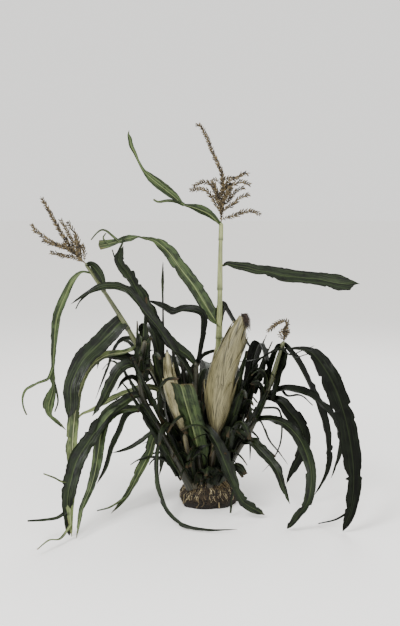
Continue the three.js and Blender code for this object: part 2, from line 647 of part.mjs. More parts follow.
function finish(colour, roughness) {
  return new THREE.MeshStandardMaterial({ color: colour, roughness, metalness: 0, side: THREE.DoubleSide });
}

const plant = new THREE.Group();
const placed = []; // each finished solid, with a slightly fatter copy that later pieces are cut by

function place(name, solid, cutter, material) {
  let clear = solid;
  for (const earlier of placed) {
    if (earlier.cutter) clear = clear.subtract(earlier.cutter);
  }
  clear = largestBody(clear);
  placed.push({ name, cutter });
  const mesh = new THREE.Mesh(geometryFrom(clear), material);
  mesh.name = name;
  plant.add(mesh);
}

place("root_ball", rootBallSolid(0), rootBallSolid(clearance), finish(colours.roots, 0.95));
for (const [name, shoot] of Object.entries(shoots)) {
  place(name, shootSolid(shoot, 0), shootSolid(shoot, clearance), finish(colours.stalk, 0.5));
}
for (const [name, ear] of Object.entries(ears)) {
  place(name, earSolid(ear), null, finish(colours.husk, 0.7));
}
for (const [name, tassel] of Object.entries(tassels)) {
  place(name, tasselSolid(tassel), null, finish(colours.tassel, 0.85));
}
for (const leaf of leaves) {
  place(leaf.name, leafSolid(leaf, 0), leafSolid(leaf, clearance), finish(colours.leaf, 0.35));
}

export default plant;
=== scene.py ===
import math

import bpy
import mathutils
import numpy as np
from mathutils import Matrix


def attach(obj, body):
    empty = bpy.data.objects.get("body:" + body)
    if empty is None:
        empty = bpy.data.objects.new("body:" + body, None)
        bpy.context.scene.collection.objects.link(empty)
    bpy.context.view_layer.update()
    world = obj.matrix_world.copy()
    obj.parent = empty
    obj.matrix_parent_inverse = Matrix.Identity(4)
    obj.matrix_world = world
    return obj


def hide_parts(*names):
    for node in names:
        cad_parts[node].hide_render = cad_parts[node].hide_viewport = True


# A dwarf maize plant with many shoots, standing on its own root ball.
# Lengths here are millimetres. +X is right and +Y is back, and headings are degrees round Z from +X.

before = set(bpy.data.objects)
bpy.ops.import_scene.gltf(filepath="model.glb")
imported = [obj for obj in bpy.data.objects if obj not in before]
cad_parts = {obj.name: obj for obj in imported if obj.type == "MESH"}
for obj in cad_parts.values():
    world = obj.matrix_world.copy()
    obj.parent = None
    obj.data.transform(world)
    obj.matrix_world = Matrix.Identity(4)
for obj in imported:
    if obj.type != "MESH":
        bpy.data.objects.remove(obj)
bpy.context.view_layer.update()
bpy.ops.object.select_all(action="DESELECT")
mm = 0.001


# Materials

def hexColour(text):
    # sRGB hex to the linear colour that a socket takes
    channels = [int(text[i:i + 2], 16) / 255 for i in (1, 3, 5)]
    return [c / 12.92 if c <= 0.04045 else ((c + 0.055) / 1.055) ** 2.4 for c in channels] + [1.0]


def setInputs(tree, node, inputs):
    # each input is a socket to link or a value to set, and a text is a colour in hex
    for socket, value in inputs.items():
        if isinstance(value, bpy.types.NodeSocket):
            tree.links.new(value, node.inputs[socket])
        else:
            node.inputs[socket].default_value = hexColour(value) if isinstance(value, str) else value


def addNode(tree, kind, inputs, output=0, **settings):
    # adds a node with its settings and links, and returns the output that is asked for
    node = tree.nodes.new("ShaderNode" + kind)
    for key, value in settings.items():
        setattr(node, key, value)
    setInputs(tree, node, inputs)
    return node.outputs[output]


def newMaterial(name, marks=()):
    # the marks are numbers that each skin carries on its own vertices
    material = bpy.data.materials.new(name)
    material.use_nodes = True
    tree = material.node_tree
    numbers = [addNode(tree, "Attribute", {}, "Fac", attribute_name=mark) for mark in marks]
    return material, tree, tree.nodes["Principled BSDF"], numbers


def perMetre(size):
    return 1 / (size * mm)


def paint(tree, under, over, value, span, strength=1.0):
    # lays one colour over another while the value crosses the span
    cover = {"Value": value, "From Min": span[0], "From Max": span[1], "To Max": strength}
    factor = addNode(tree, "MapRange", cover, interpolation_type="SMOOTHSTEP")
    return addNode(tree, "Mix", {0: factor, 6: under, 7: over}, 2, data_type="RGBA")


# Maize leaf blade, living tissue under a thin wax: a broad soft gloss, a pale midrib and ribbed veins, and
# painted shade that darkens its edges where they curl.
# The real veins are 1.5 mm apart. They are drawn at about 3 mm, so that they show at this distance.
leafLook = {
    "mottleSize": 22.0,
    "streak": (2.4, 80.0, 3.7),  # width and length on the blade, and the shift from leaf to leaf
    "band": (9.0, 170.0, 5.3),
    "crumple": (12.0, 40.0, 2.1),
    "veinGap": 3.0,
    "freshLayer": ((0.9, 1.1),),  # each layer says where it begins and is full, and how strong it is
    "streakLayer": ((0.5, 0.72), 0.55),
    "veinLayer": ((0.16, 0.0), 0.16),
    # painted shade: the blade's edges are laid over with its deep colour, for the shade where they curl
    "edgeShadeLayer": ((0.74, 1.0), 0.7),
    "ribLayer": ((1.15, 0.45), 0.6),
    "dryLayer": ((0.42, 0.75),),
    "dryPatches": 0.9,
    "roughness": {"From Min": 0.3, "From Max": 1.2, "To Min": 0.32, "To Max": 0.72},
    "crumpleBump": {"Strength": 0.8, "Distance": 3.0 * mm},
    "veinBump": {"Strength": 0.7, "Distance": 0.5 * mm},
    "veinRelief": 0.5,
    "streakRelief": 1.6,
    "waxIndex": 1.42,
}
leafTones = {
    # The deep tone is the dark one made darker still and less glossy, for the leaves that lie in shade, most
    # of them on the plant's right: painted shade.
    "deep": dict(deep="#020301", fresh="#090d06", light="#1b2313", rib="#232b18", dry="#1d1710", sheen=0.14),
    "dark": dict(deep="#050704", fresh="#131b0d", light="#374328", rib="#3b4729", dry="#302617", sheen=0.24),
    "mid": dict(deep="#151f0f", fresh="#313f24", light="#637144", rib="#7d885b", dry="#5a4c31", sheen=0.3),
    "pale": dict(deep="#2c3720", fresh="#59653c", light="#8f9565", rib="#a9ac82", dry="#7e6f4a", sheen=0.3),
}


def leafBladeMaterial(name, tone):
    look = leafLook
    material, tree, shader, marks = newMaterial(
        name, ("across", "along", "leafNumber", "ribPlace", "margin", "dryness"))
    across, along, leafNumber, ribPlace, margin, dryness = marks
    place = addNode(tree, "TexCoord", {}, "Object")
    placeOnLeaf = addNode(tree, "CombineXYZ", {0: across, 1: along, 2: leafNumber})

    def lengthwise(width, length, shift):
        drawnOut = {"Vector": placeOnLeaf, "Scale": (perMetre(width), perMetre(length), shift)}
        return addNode(tree, "TexNoise", {"Vector": addNode(tree, "Mapping", drawnOut), "Scale": 1.0}, "Fac")

    mottle = addNode(tree, "TexNoise", {
        "Vector": place, "Scale": perMetre(look["mottleSize"]), "Detail": 3.0}, "Fac")
    streak = lengthwise(*look["streak"])
    veinNumber = addNode(tree, "Math", {0: across, 1: perMetre(look["veinGap"])}, operation="MULTIPLY")
    vein = addNode(tree, "Math", {0: veinNumber, 1: 0.5}, operation="PINGPONG")
    freshness = addNode(tree, "Math", {0: mottle, 1: lengthwise(*look["band"])}, operation="ADD")
    fromRib = addNode(tree, "Math", {0: ribPlace}, operation="ABSOLUTE")
    streakOffset = addNode(tree, "Math", {0: streak, 1: 0.5}, operation="SUBTRACT")
    patches = addNode(tree, "Math", {0: streakOffset, 1: look["dryPatches"]}, operation="MULTIPLY")
    patchyDryness = addNode(tree, "Math", {0: dryness, 1: patches}, operation="ADD")
    colour = tone["deep"]
    # the edge layer paints shade along the blade's edges
    for layer, over, value in (
            ("freshLayer", "fresh", freshness), ("streakLayer", "light", streak),
            ("veinLayer", "light", vein), ("edgeShadeLayer", "deep", margin),
            ("ribLayer", "rib", fromRib), ("dryLayer", "dry", patchyDryness)):
        colour = paint(tree, colour, tone[over], value, *look[layer])

    veinStart, veinFull = look["veinLayer"][0]
    veinLine = addNode(tree, "MapRange", {"Value": vein, "From Min": veinStart, "From Max": veinFull},
                       interpolation_type="SMOOTHSTEP")
    veinHeight = addNode(tree, "Math", {0: veinLine, 1: look["veinRelief"]}, operation="MULTIPLY")
    streakHeight = addNode(tree, "Math", {0: streak, 1: look["streakRelief"]}, operation="MULTIPLY")
    relief = addNode(tree, "Math", {0: veinHeight, 1: streakHeight}, operation="ADD")
    crumple = addNode(tree, "Bump", {"Height": lengthwise(*look["crumple"]), **look["crumpleBump"]})
    dullness = addNode(tree, "Math", {0: mottle, 1: dryness}, operation="ADD")
    setInputs(tree, shader, {
        "Base Color": colour, "IOR": look["waxIndex"], "Specular IOR Level": tone["sheen"],
        "Normal": addNode(tree, "Bump", {"Height": relief, "Normal": crumple, **look["veinBump"]}),
        "Roughness": addNode(tree, "MapRange", {"Value": dullness, **look["roughness"]},
                             interpolation_type="SMOOTHSTEP")})
    return material


# Leaf sheath round the stalk, smooth and waxy: fine stripes, darker at the joints, and near black low down,
# for dead sheath and painted shade at the foot of the plant, with paler streaks that are partly painted
# highlights on the sheath edges.
# A husk is the same tissue, papery and half dry, and darkened low down the same way.
def sheathMaterial(name, look):
    material, tree, shader, marks = newMaterial(name, ("around", "along", "sinceJoint", "ageAndShade"))
    around, along, sinceJoint, ageAndShade = marks
    place = addNode(tree, "TexCoord", {}, "Object")
    stripePlace = addNode(tree, "Mapping", {
        "Vector": addNode(tree, "CombineXYZ", {0: around, 1: along}),
        "Scale": (look["stripes"], look["stripeBreaks"], 1)})
    stripe = addNode(tree, "TexNoise", {"Vector": stripePlace, "Scale": 1.0}, "Fac")
    patchPlace = addNode(tree, "Mapping", {"Vector": place, "Scale": (1, 1, look["stretch"])})
    mottle = addNode(tree, "TexNoise", {
        "Vector": patchPlace, "Scale": perMetre(look["patch"]), "Detail": 3.0}, "Fac")
    colour = paint(tree, look["deep"], look["pale"], mottle, *look["paleLayer"])
    colour = paint(tree, colour, look["stripe"], stripe, *look["stripeLayer"])
    colour = paint(tree, colour, look["joint"], sinceJoint, *look["jointLayer"])

    # the dark part, dead sheath and painted shade, ends at an uneven height, and higher up on the shoots
    # marked as older, which also stand in more shade
    stripeOffset = addNode(tree, "Math", {0: stripe, 1: 0.5}, operation="SUBTRACT")
    uneven = addNode(tree, "Math", {0: stripeOffset, 1: look["darkEdgeWander"] * mm}, operation="MULTIPLY")
    lowered = addNode(tree, "Math", {0: ageAndShade, 1: -look["ageAndShadeRise"] * mm}, operation="MULTIPLY")
    height = addNode(tree, "SeparateXYZ", {0: place}, "Z")
    unevenHeight = addNode(tree, "Math", {0: height, 1: uneven}, operation="ADD")
    deadAndShadedHeight = addNode(tree, "Math", {0: unevenHeight, 1: lowered}, operation="ADD")
    # near black low down, for dead sheath and painted shade, with paler streaks that are partly painted
    # highlights on the sheath edges
    low, high = look["deadAndShadedBelow"]
    old = paint(tree, look["old"], look["oldStripeAndHighlight"], stripe, *look["oldStripeAndHighlightLayer"])
    setInputs(tree, shader, {
        "Base Color": paint(tree, colour, old, deadAndShadedHeight, (high * mm, low * mm), look["deadAndShadedStrength"]),
        "Roughness": addNode(tree, "MapRange", {"Value": mottle, **look["roughness"]},
                             interpolation_type="SMOOTHSTEP"),
        "Normal": addNode(tree, "Bump", {"Height": stripe, **look["stripeBump"]}), "IOR": look["waxIndex"]})
    return material


# Dry chaffy and fibrous things: a matt grainy body, with no gloss to speak of.
def dryMaterial(name, grain, patch, deep, pale, speck, roughness, relief):
    material, tree, shader, _ = newMaterial(name)
    place = addNode(tree, "TexCoord", {}, "Object")
    fine = addNode(tree, "TexNoise", {"Vector": place, "Scale": perMetre(grain), "Detail": 4.0}, "Fac")
    broad = addNode(tree, "TexNoise", {"Vector": place, "Scale": perMetre(patch)}, "Fac")
    colour = paint(tree, deep, pale, broad, *dryLook["paleLayer"])
    setInputs(tree, shader, {
        "Base Color": paint(tree, colour, speck, fine, *dryLook["speckLayer"]), "Roughness": roughness,
        "Normal": addNode(tree, "Bump", {"Height": fine, "Strength": dryLook["bump"],
                                         "Distance": relief * mm})})
    return material


leafMaterials = {tone: leafBladeMaterial("maizeLeaf_waxy_" + tone, colours)
                 for tone, colours in leafTones.items()}
sheathLook = {
    "stripeBreaks": 14.0, "stripeBump": {"Strength": 0.5, "Distance": 0.5 * mm},
    "paleLayer": ((0.35, 0.65),), "stripeLayer": ((0.42, 0.64), 0.8), "jointLayer": ((0.1, 0.0), 0.8),
    "oldStripeAndHighlightLayer": ((0.53, 0.66), 0.8), "deadAndShadedStrength": 0.92,
    "roughness": {"From Min": 0.3, "From Max": 0.7, "To Min": 0.38, "To Max": 0.58}, "waxIndex": 1.45,
}
stalkLook = {
    **sheathLook, "stripes": 16, "patch": 26.0, "stretch": 0.5, "deep": "#414c29", "pale": "#757d50",
    "stripe": "#979a6c", "joint": "#2c3520", "old": "#0f0d08", "oldStripeAndHighlight": "#4d4736",
    "deadAndShadedBelow": (170, 350),  # the heights between which the dark part ends: dead sheath, and painted shade
    "darkEdgeWander": 420.0, "ageAndShadeRise": 600.0,
}
# A darker copy of the stalk's sheath, for every shoot but the main stalk: painted shade.
shadedStalkLook = {
    **stalkLook, "deep": "#1f2514", "pale": "#434a2e", "stripe": "#767a55", "joint": "#171c10",
    "old": "#14130c", "oldStripeAndHighlight": "#5d5944",
}
huskLook = {
    **sheathLook, "stripes": 30, "patch": 13.0, "stretch": 0.3, "deep": "#2c2917", "pale": "#5b563b",
    "stripe": "#8b8460", "joint": "#3c3a24", "old": "#161209", "oldStripeAndHighlight": "#4a4230",
    "deadAndShadedBelow": (150, 250), "darkEdgeWander": 260.0, "ageAndShadeRise": 0.0,
}
stalkMaterials = {"fresh": sheathMaterial("maizeSheath_fresh", stalkLook),
                  "dull": sheathMaterial("maizeSheath_shaded", shadedStalkLook)}
huskMaterial = sheathMaterial("maizeHusk_papery", huskLook)
paleHuskMaterial = sheathMaterial("maizeHusk_pale", {**huskLook, "deep": "#4b472c", "pale": "#858060",
                                                     "stripe": "#aaa27c"})
dryLook = {"paleLayer": ((0.36, 0.64),), "speckLayer": ((0.45, 0.75), 0.6), "bump": 0.7}
# Tassel chaff: straw glumes with brown flecks.
tasselMaterial = dryMaterial("maizeTassel_chaff", grain=3.4, patch=7.0, deep="#1c150d", pale="#6b5d40",
                             speck="#140f09", roughness=0.78, relief=0.25)
# Dried silk: fine brown hair with a little shine left.
silkMaterial = dryMaterial("maizeSilk_dried", grain=3.0, patch=9.0, deep="#0f0905", pale="#2c1c10",
                           speck="#463019", roughness=0.5, relief=0.1)
# Living roots: cream to tan, matt, with soil clinging to them.
rootMaterial = dryMaterial("maizeRoot_fibrous", grain=4.0, patch=34.0, deep="#85744f", pale="#cdbd94",
                           speck="#54452e", roughness=0.8, relief=0.3)
# Fine root hair, brown and dull with the soil in it.
rootHairMaterial = dryMaterial("maizeRoot_hair", grain=2.2, patch=9.0, deep="#17110a", pale="#3b2f1f",
                               speck="#0d0906", roughness=0.85, relief=0.2)
# Damp loam held by the roots: dark, crumbly, rough.
soilMaterial = dryMaterial("soil_crumbly", grain=3.5, patch=22.0, deep="#070504", pale="#130e09",
                           speck="#2c2218", roughness=0.95, relief=1.6)
print("materials made")


# Lines, and skins laid along them

skinForm = {"mergeWithin": 0.02, "smoothBelow": 55, "strandSmoothBelow": 60}


def smoothLine(points, perStep=20):
    # passes through every point, eased by the spacing as the solids' lines are
    p = np.array(points, float)
    guides = np.vstack([2 * p[0] - p[1], p, 2 * p[-1] - p[-2]])
    share = np.linspace(0, 1, perStep, endpoint=False)[:, None]
    pieces = []
    for i in range(len(p) - 1):
        a, b, c, d = guides[i:i + 4]
        before, here, after = (max(np.linalg.norm(v), 1e-4) ** 0.5 for v in (b - a, c - b, d - c))
        leave = ((b - a) / before - (c - a) / (before + here) + (c - b) / here) * here
        arrive = ((c - b) / here - (d - b) / (here + after) + (d - c) / after) * here
        pieces.append(b + leave * share + (3 * (c - b) - 2 * leave - arrive) * share ** 2
                      + (2 * (b - c) + leave + arrive) * share ** 3)
    return np.vstack(pieces + [p[-1:]])


def runAlong(line):
    # how far along the line each of its points lies
    return np.concatenate([[0], np.cumsum(np.linalg.norm(np.diff(line, axis=0), axis=1))])


def alongLine(line, shares):
    # the places and directions at these shares of a line's length, and the length
    run = runAlong(line)
    slopes = np.gradient(line, run, axis=0)
    at = np.asarray(shares) * run[-1]
    places = np.stack([np.interp(at, run, line[:, k]) for k in range(3)], axis=1)
    ways = np.stack([np.interp(at, run, slopes[:, k]) for k in range(3)], axis=1)
    return places, ways / np.linalg.norm(ways, axis=1)[:, None], run[-1]


def carrySide(ways, start):
    # a side direction that is carried along a line with no twist of its own
    side = np.array(start, float)
    sides = []
    for way in ways:
        side = side - way * side.dot(way)
        side = side / np.linalg.norm(side)
        sides.append(side)
    return np.array(sides)


def headingWay(heading):
    return np.array([math.cos(math.radians(heading)), math.sin(math.radians(heading)), 0.0])


def ringPlaces(centres, sides, across, reach, angle):
    # places round a line, at these reaches and angles from its side direction
    return (centres[:, None, :] + (reach * np.cos(angle))[..., None] * sides[:, None, :]
            + (reach * np.sin(angle))[..., None] * across[:, None, :])


def overRows(values, shape):
    return np.broadcast_to(np.asarray(values)[:, None], shape)


def addSkin(name, places, marks, material):
    # a grid primitive laid on rows of places, whose last column closes on the first
    rows, columns = places.shape[:2]
    bpy.ops.object.select_all(action="DESELECT")
    bpy.ops.mesh.primitive_grid_add(x_subdivisions=columns - 1, y_subdivisions=rows - 1, size=1)
    skin = bpy.context.object
    skin.name = name
    flat = np.empty(len(skin.data.vertices) * 3)
    skin.data.vertices.foreach_get("co", flat)
    flat = flat.reshape(-1, 3)
    column = np.rint((flat[:, 0] + 0.5) * (columns - 1)).astype(int)
    row = np.rint((flat[:, 1] + 0.5) * (rows - 1)).astype(int)
    skin.data.vertices.foreach_set("co", (places[row, column] * mm).ravel())
    for mark, values in marks.items():
        layer = skin.data.attributes.new(mark, "FLOAT", "POINT")
        layer.data.foreach_set("value", values[row, column])
    skin.data.materials.append(material)
    bpy.ops.object.mode_set(mode="EDIT")
    bpy.ops.mesh.select_all(action="SELECT")
    bpy.ops.mesh.remove_doubles(threshold=skinForm["mergeWithin"] * mm)
    bpy.ops.mesh.fill_holes(sides=0)
    bpy.ops.mesh.normals_make_consistent(inside=False)
    bpy.ops.object.mode_set(mode="OBJECT")
    bpy.ops.object.shade_smooth_by_angle(angle=math.radians(skinForm["smoothBelow"]))
    return skin


def addStrands(name, lines, girths, material, roundness=0):
    # many thin tapering strands in one mesh: a line of places and its girths for each
    curve = bpy.data.curves.new(name, "CURVE")
    curve.dimensions = "3D"
    curve.bevel_depth = 0.5 * mm
    curve.bevel_resolution = roundness
    curve.use_fill_caps = True
    for line, girth in zip(lines, girths):
        spline = curve.splines.new("POLY")
        spline.points.add(len(line) - 1)
        spline.points.foreach_set("co", np.c_[line * mm, np.ones(len(line))].ravel())
        spline.points.foreach_set("radius", girth)
    strands = bpy.data.objects.new(name, curve)
    bpy.context.scene.collection.objects.link(strands)
    bpy.ops.object.select_all(action="DESELECT")
    strands.select_set(True)
    bpy.context.view_layer.objects.active = strands
    bpy.ops.object.convert(target="MESH")
    bpy.ops.object.shade_smooth_by_angle(angle=math.radians(skinForm["strandSmoothBelow"]))
    strands.data.materials.clear()
    strands.data.materials.append(material)
    return bpy.context.object


def joinPieces(pieces, name):
    bpy.ops.object.select_all(action="DESELECT")
    for piece in pieces:
        piece.select_set(True)
    bpy.context.view_layer.objects.active = pieces[0]
    if len(pieces) > 1:
        bpy.ops.object.join()
    joined = bpy.context.view_layer.objects.active
    joined.name = name
    return joined


def copyMany(name, model, places, turns, sizes, material):
    # one mesh that holds a copy of the model at each place: turns are 3 by 3, sizes along each axis
    count = len(model.data.vertices)
    corners = np.empty(count * 3)
    model.data.vertices.foreach_get("co", corners)
    corners = corners.reshape(-1, 3)
    faces = [list(face.vertices) for face in model.data.polygons]
    spots = np.einsum("nij,nvj->nvi", turns, corners[None] * sizes[:, None, :]) + places[:, None, :]
    mesh = bpy.data.meshes.new(name)
    allFaces = [[v + count * i for v in face] for i in range(len(places)) for face in faces]
    mesh.from_pydata((spots.reshape(-1, 3) * mm).tolist(), [], allFaces)
    mesh.materials.append(material)
    mesh.update()
    made = bpy.data.objects.new(name, mesh)
    bpy.context.scene.collection.objects.link(made)
    return made


def settle(piece, node):
    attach(piece, "root")
    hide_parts(node)


# Shoots: each stalk in its sheaths, which swell above every joint and overlap down one side
# joint is the length between two joints. The number after it says how far up the sheaths are dark, partly
# dead sheath and partly painted shade. oldWays, oldFrom, oldTop, oldLength and oldCount are for the old
# leaves on it: their headings, the heights they start between, their lengths and how many there are.

shoots = {
    "main_stalk": dict(line=[[-6, 0, 51], [5, 3, 180], [20, 6, 312], [27, 8, 433], [29, 10, 582],
                             [31, 12, 683]],
                       girth=[19, 9], joint=118, ageAndShade=0.0, look="fresh", oldWays=(190, 350), oldTop=170),
    "left_shoot": dict(line=[[-28, -6, 49], [-74, -15, 198], [-121, -26, 315], [-147, -32, 360],
                             [-199, -40, 454], [-244, -48, 528], [-284, -55, 591]],
                       girth=[17, 8], joint=105, ageAndShade=0.1),
    "short_left_shoot": dict(line=[[-40, -28, 47], [-88, -47, 145], [-121, -60, 210], [-153, -68, 279],
                                   [-156, -70, 355], [-146, -68, 413]],
                             girth=[21, 11], joint=84, ageAndShade=0.45),
    "middle_shoot": dict(line=[[-14, -26, 51], [-22, -32, 131], [-28, -34, 194], [-31, -34, 275],
                               [-27, -34, 357]],
                         girth=[16, 11], joint=74, ageAndShade=0.6, oldWays=(-30, 205)),
    "right_shoot": dict(line=[[30, -8, 49], [56, -11, 108], [104, -17, 191], [141, -22, 278],
                              [168, -27, 369], [179, -30, 405]],
                        girth=[15, 9], joint=92, ageAndShade=0.1, oldTop=150, oldCount=3),
    "right_inner_shoot": dict(line=[[20, 14, 49], [60, 28, 175], [91, 36, 248], [106, 40, 290]],
                              girth=[15, 10], joint=70, ageAndShade=0.5, oldWays=(60, 300)),
    "right_front_shoot": dict(line=[[20, -24, 49], [44, -34, 165], [68, -42, 253], [78, -44, 297]],
                              girth=[15, 9], joint=66, ageAndShade=0.5, oldWays=(110, 310)),
    "back_left_shoot": dict(line=[[-18, 20, 49], [-38, 70, 165], [-58, 112, 275], [-66, 132, 345]],
                            girth=[15, 8], joint=80, ageAndShade=0.5),
    "back_right_shoot": dict(line=[[6, 26, 49], [26, 84, 165], [40, 128, 265], [44, 148, 325]],
                             girth=[15, 8], joint=78, ageAndShade=0.5),
}
shootForm = {
    "rowGap": 3.0,
    "around": 20,
    "swell": 1.22,
    "ringLength": 5.0,  # the hard ring at each joint
    "ringHeight": 2.0,
    "ringGirth": 1.07,
    "overlap": 0.06,  # how far the free edge of a sheath stands out, as a share of the girth
    "edgeTurn": 0.37,  # how far round from one sheath's edge the next one's lies, in turns
    "roundOff": 6.0,  # the length over which the top closes
    "topGirth": 0.02,
}


def shootRadius(shoot, length, shares):
    form = shootForm
    since = (shares * length) % shoot["joint"]
    taper = (shoot["girth"][0] + (shoot["girth"][1] - shoot["girth"][0]) * shares) / 2
    ring = np.exp(-((since - form["ringHeight"]) / form["ringLength"] * 2) ** 2)
    sheath = form["swell"] + (1 - form["swell"]) * since / shoot["joint"]
    return taper * (sheath + (form["ringGirth"] - 1) * ring), since


def addShoot(name, shoot):
    form = shootForm
    line = smoothLine(shoot["line"])
    shares = np.linspace(0, 1, int(runAlong(line)[-1] / form["rowGap"]))
    centres, ways, length = alongLine(line, shares)
    sides = carrySide(ways, (0, 1, 0))
    radius, since = shootRadius(shoot, length, shares)
    closing = np.clip((1 - shares) * length / form["roundOff"], form["topGirth"], 1) ** 0.5
    angle = np.linspace(0, 2 * np.pi, form["around"] + 1)
    number = np.floor(shares * length / shoot["joint"])
    edge = (angle[None, :] / (2 * np.pi) + (form["edgeTurn"] * number)[:, None]) % 1.0
    reach = (radius * closing)[:, None] * (1 + form["overlap"] * (edge - 0.5))
    marks = {
        "around": np.broadcast_to(np.abs(angle / np.pi - 1), reach.shape),
        "along": overRows(shares * length * mm, reach.shape),
        "sinceJoint": overRows(since / shoot["joint"], reach.shape),
        "ageAndShade": np.full(reach.shape, shoot["ageAndShade"]),
    }
    places = ringPlaces(centres, sides, np.cross(ways, sides), reach, angle)
    # every shoot but the main stalk takes the darker sheath, which is painted shade
    return addSkin(name + "_sheaths", places, marks, stalkMaterials[shoot.get("look", "dull")])


for name, shoot in shoots.items():
    settle(addShoot(name, shoot), name)
print("shoots made")


# Leaves: the routes that the solids take, with ribs, ruffled edges, cupped collars and torn tips
# Each step of a route says how far out along the heading it lies and how far above the collar, which is at
# the height "at" on its shoot. sweep turns the heading along the blade, and roll tips it about its midrib.
# widths are those at the collar and at each step.

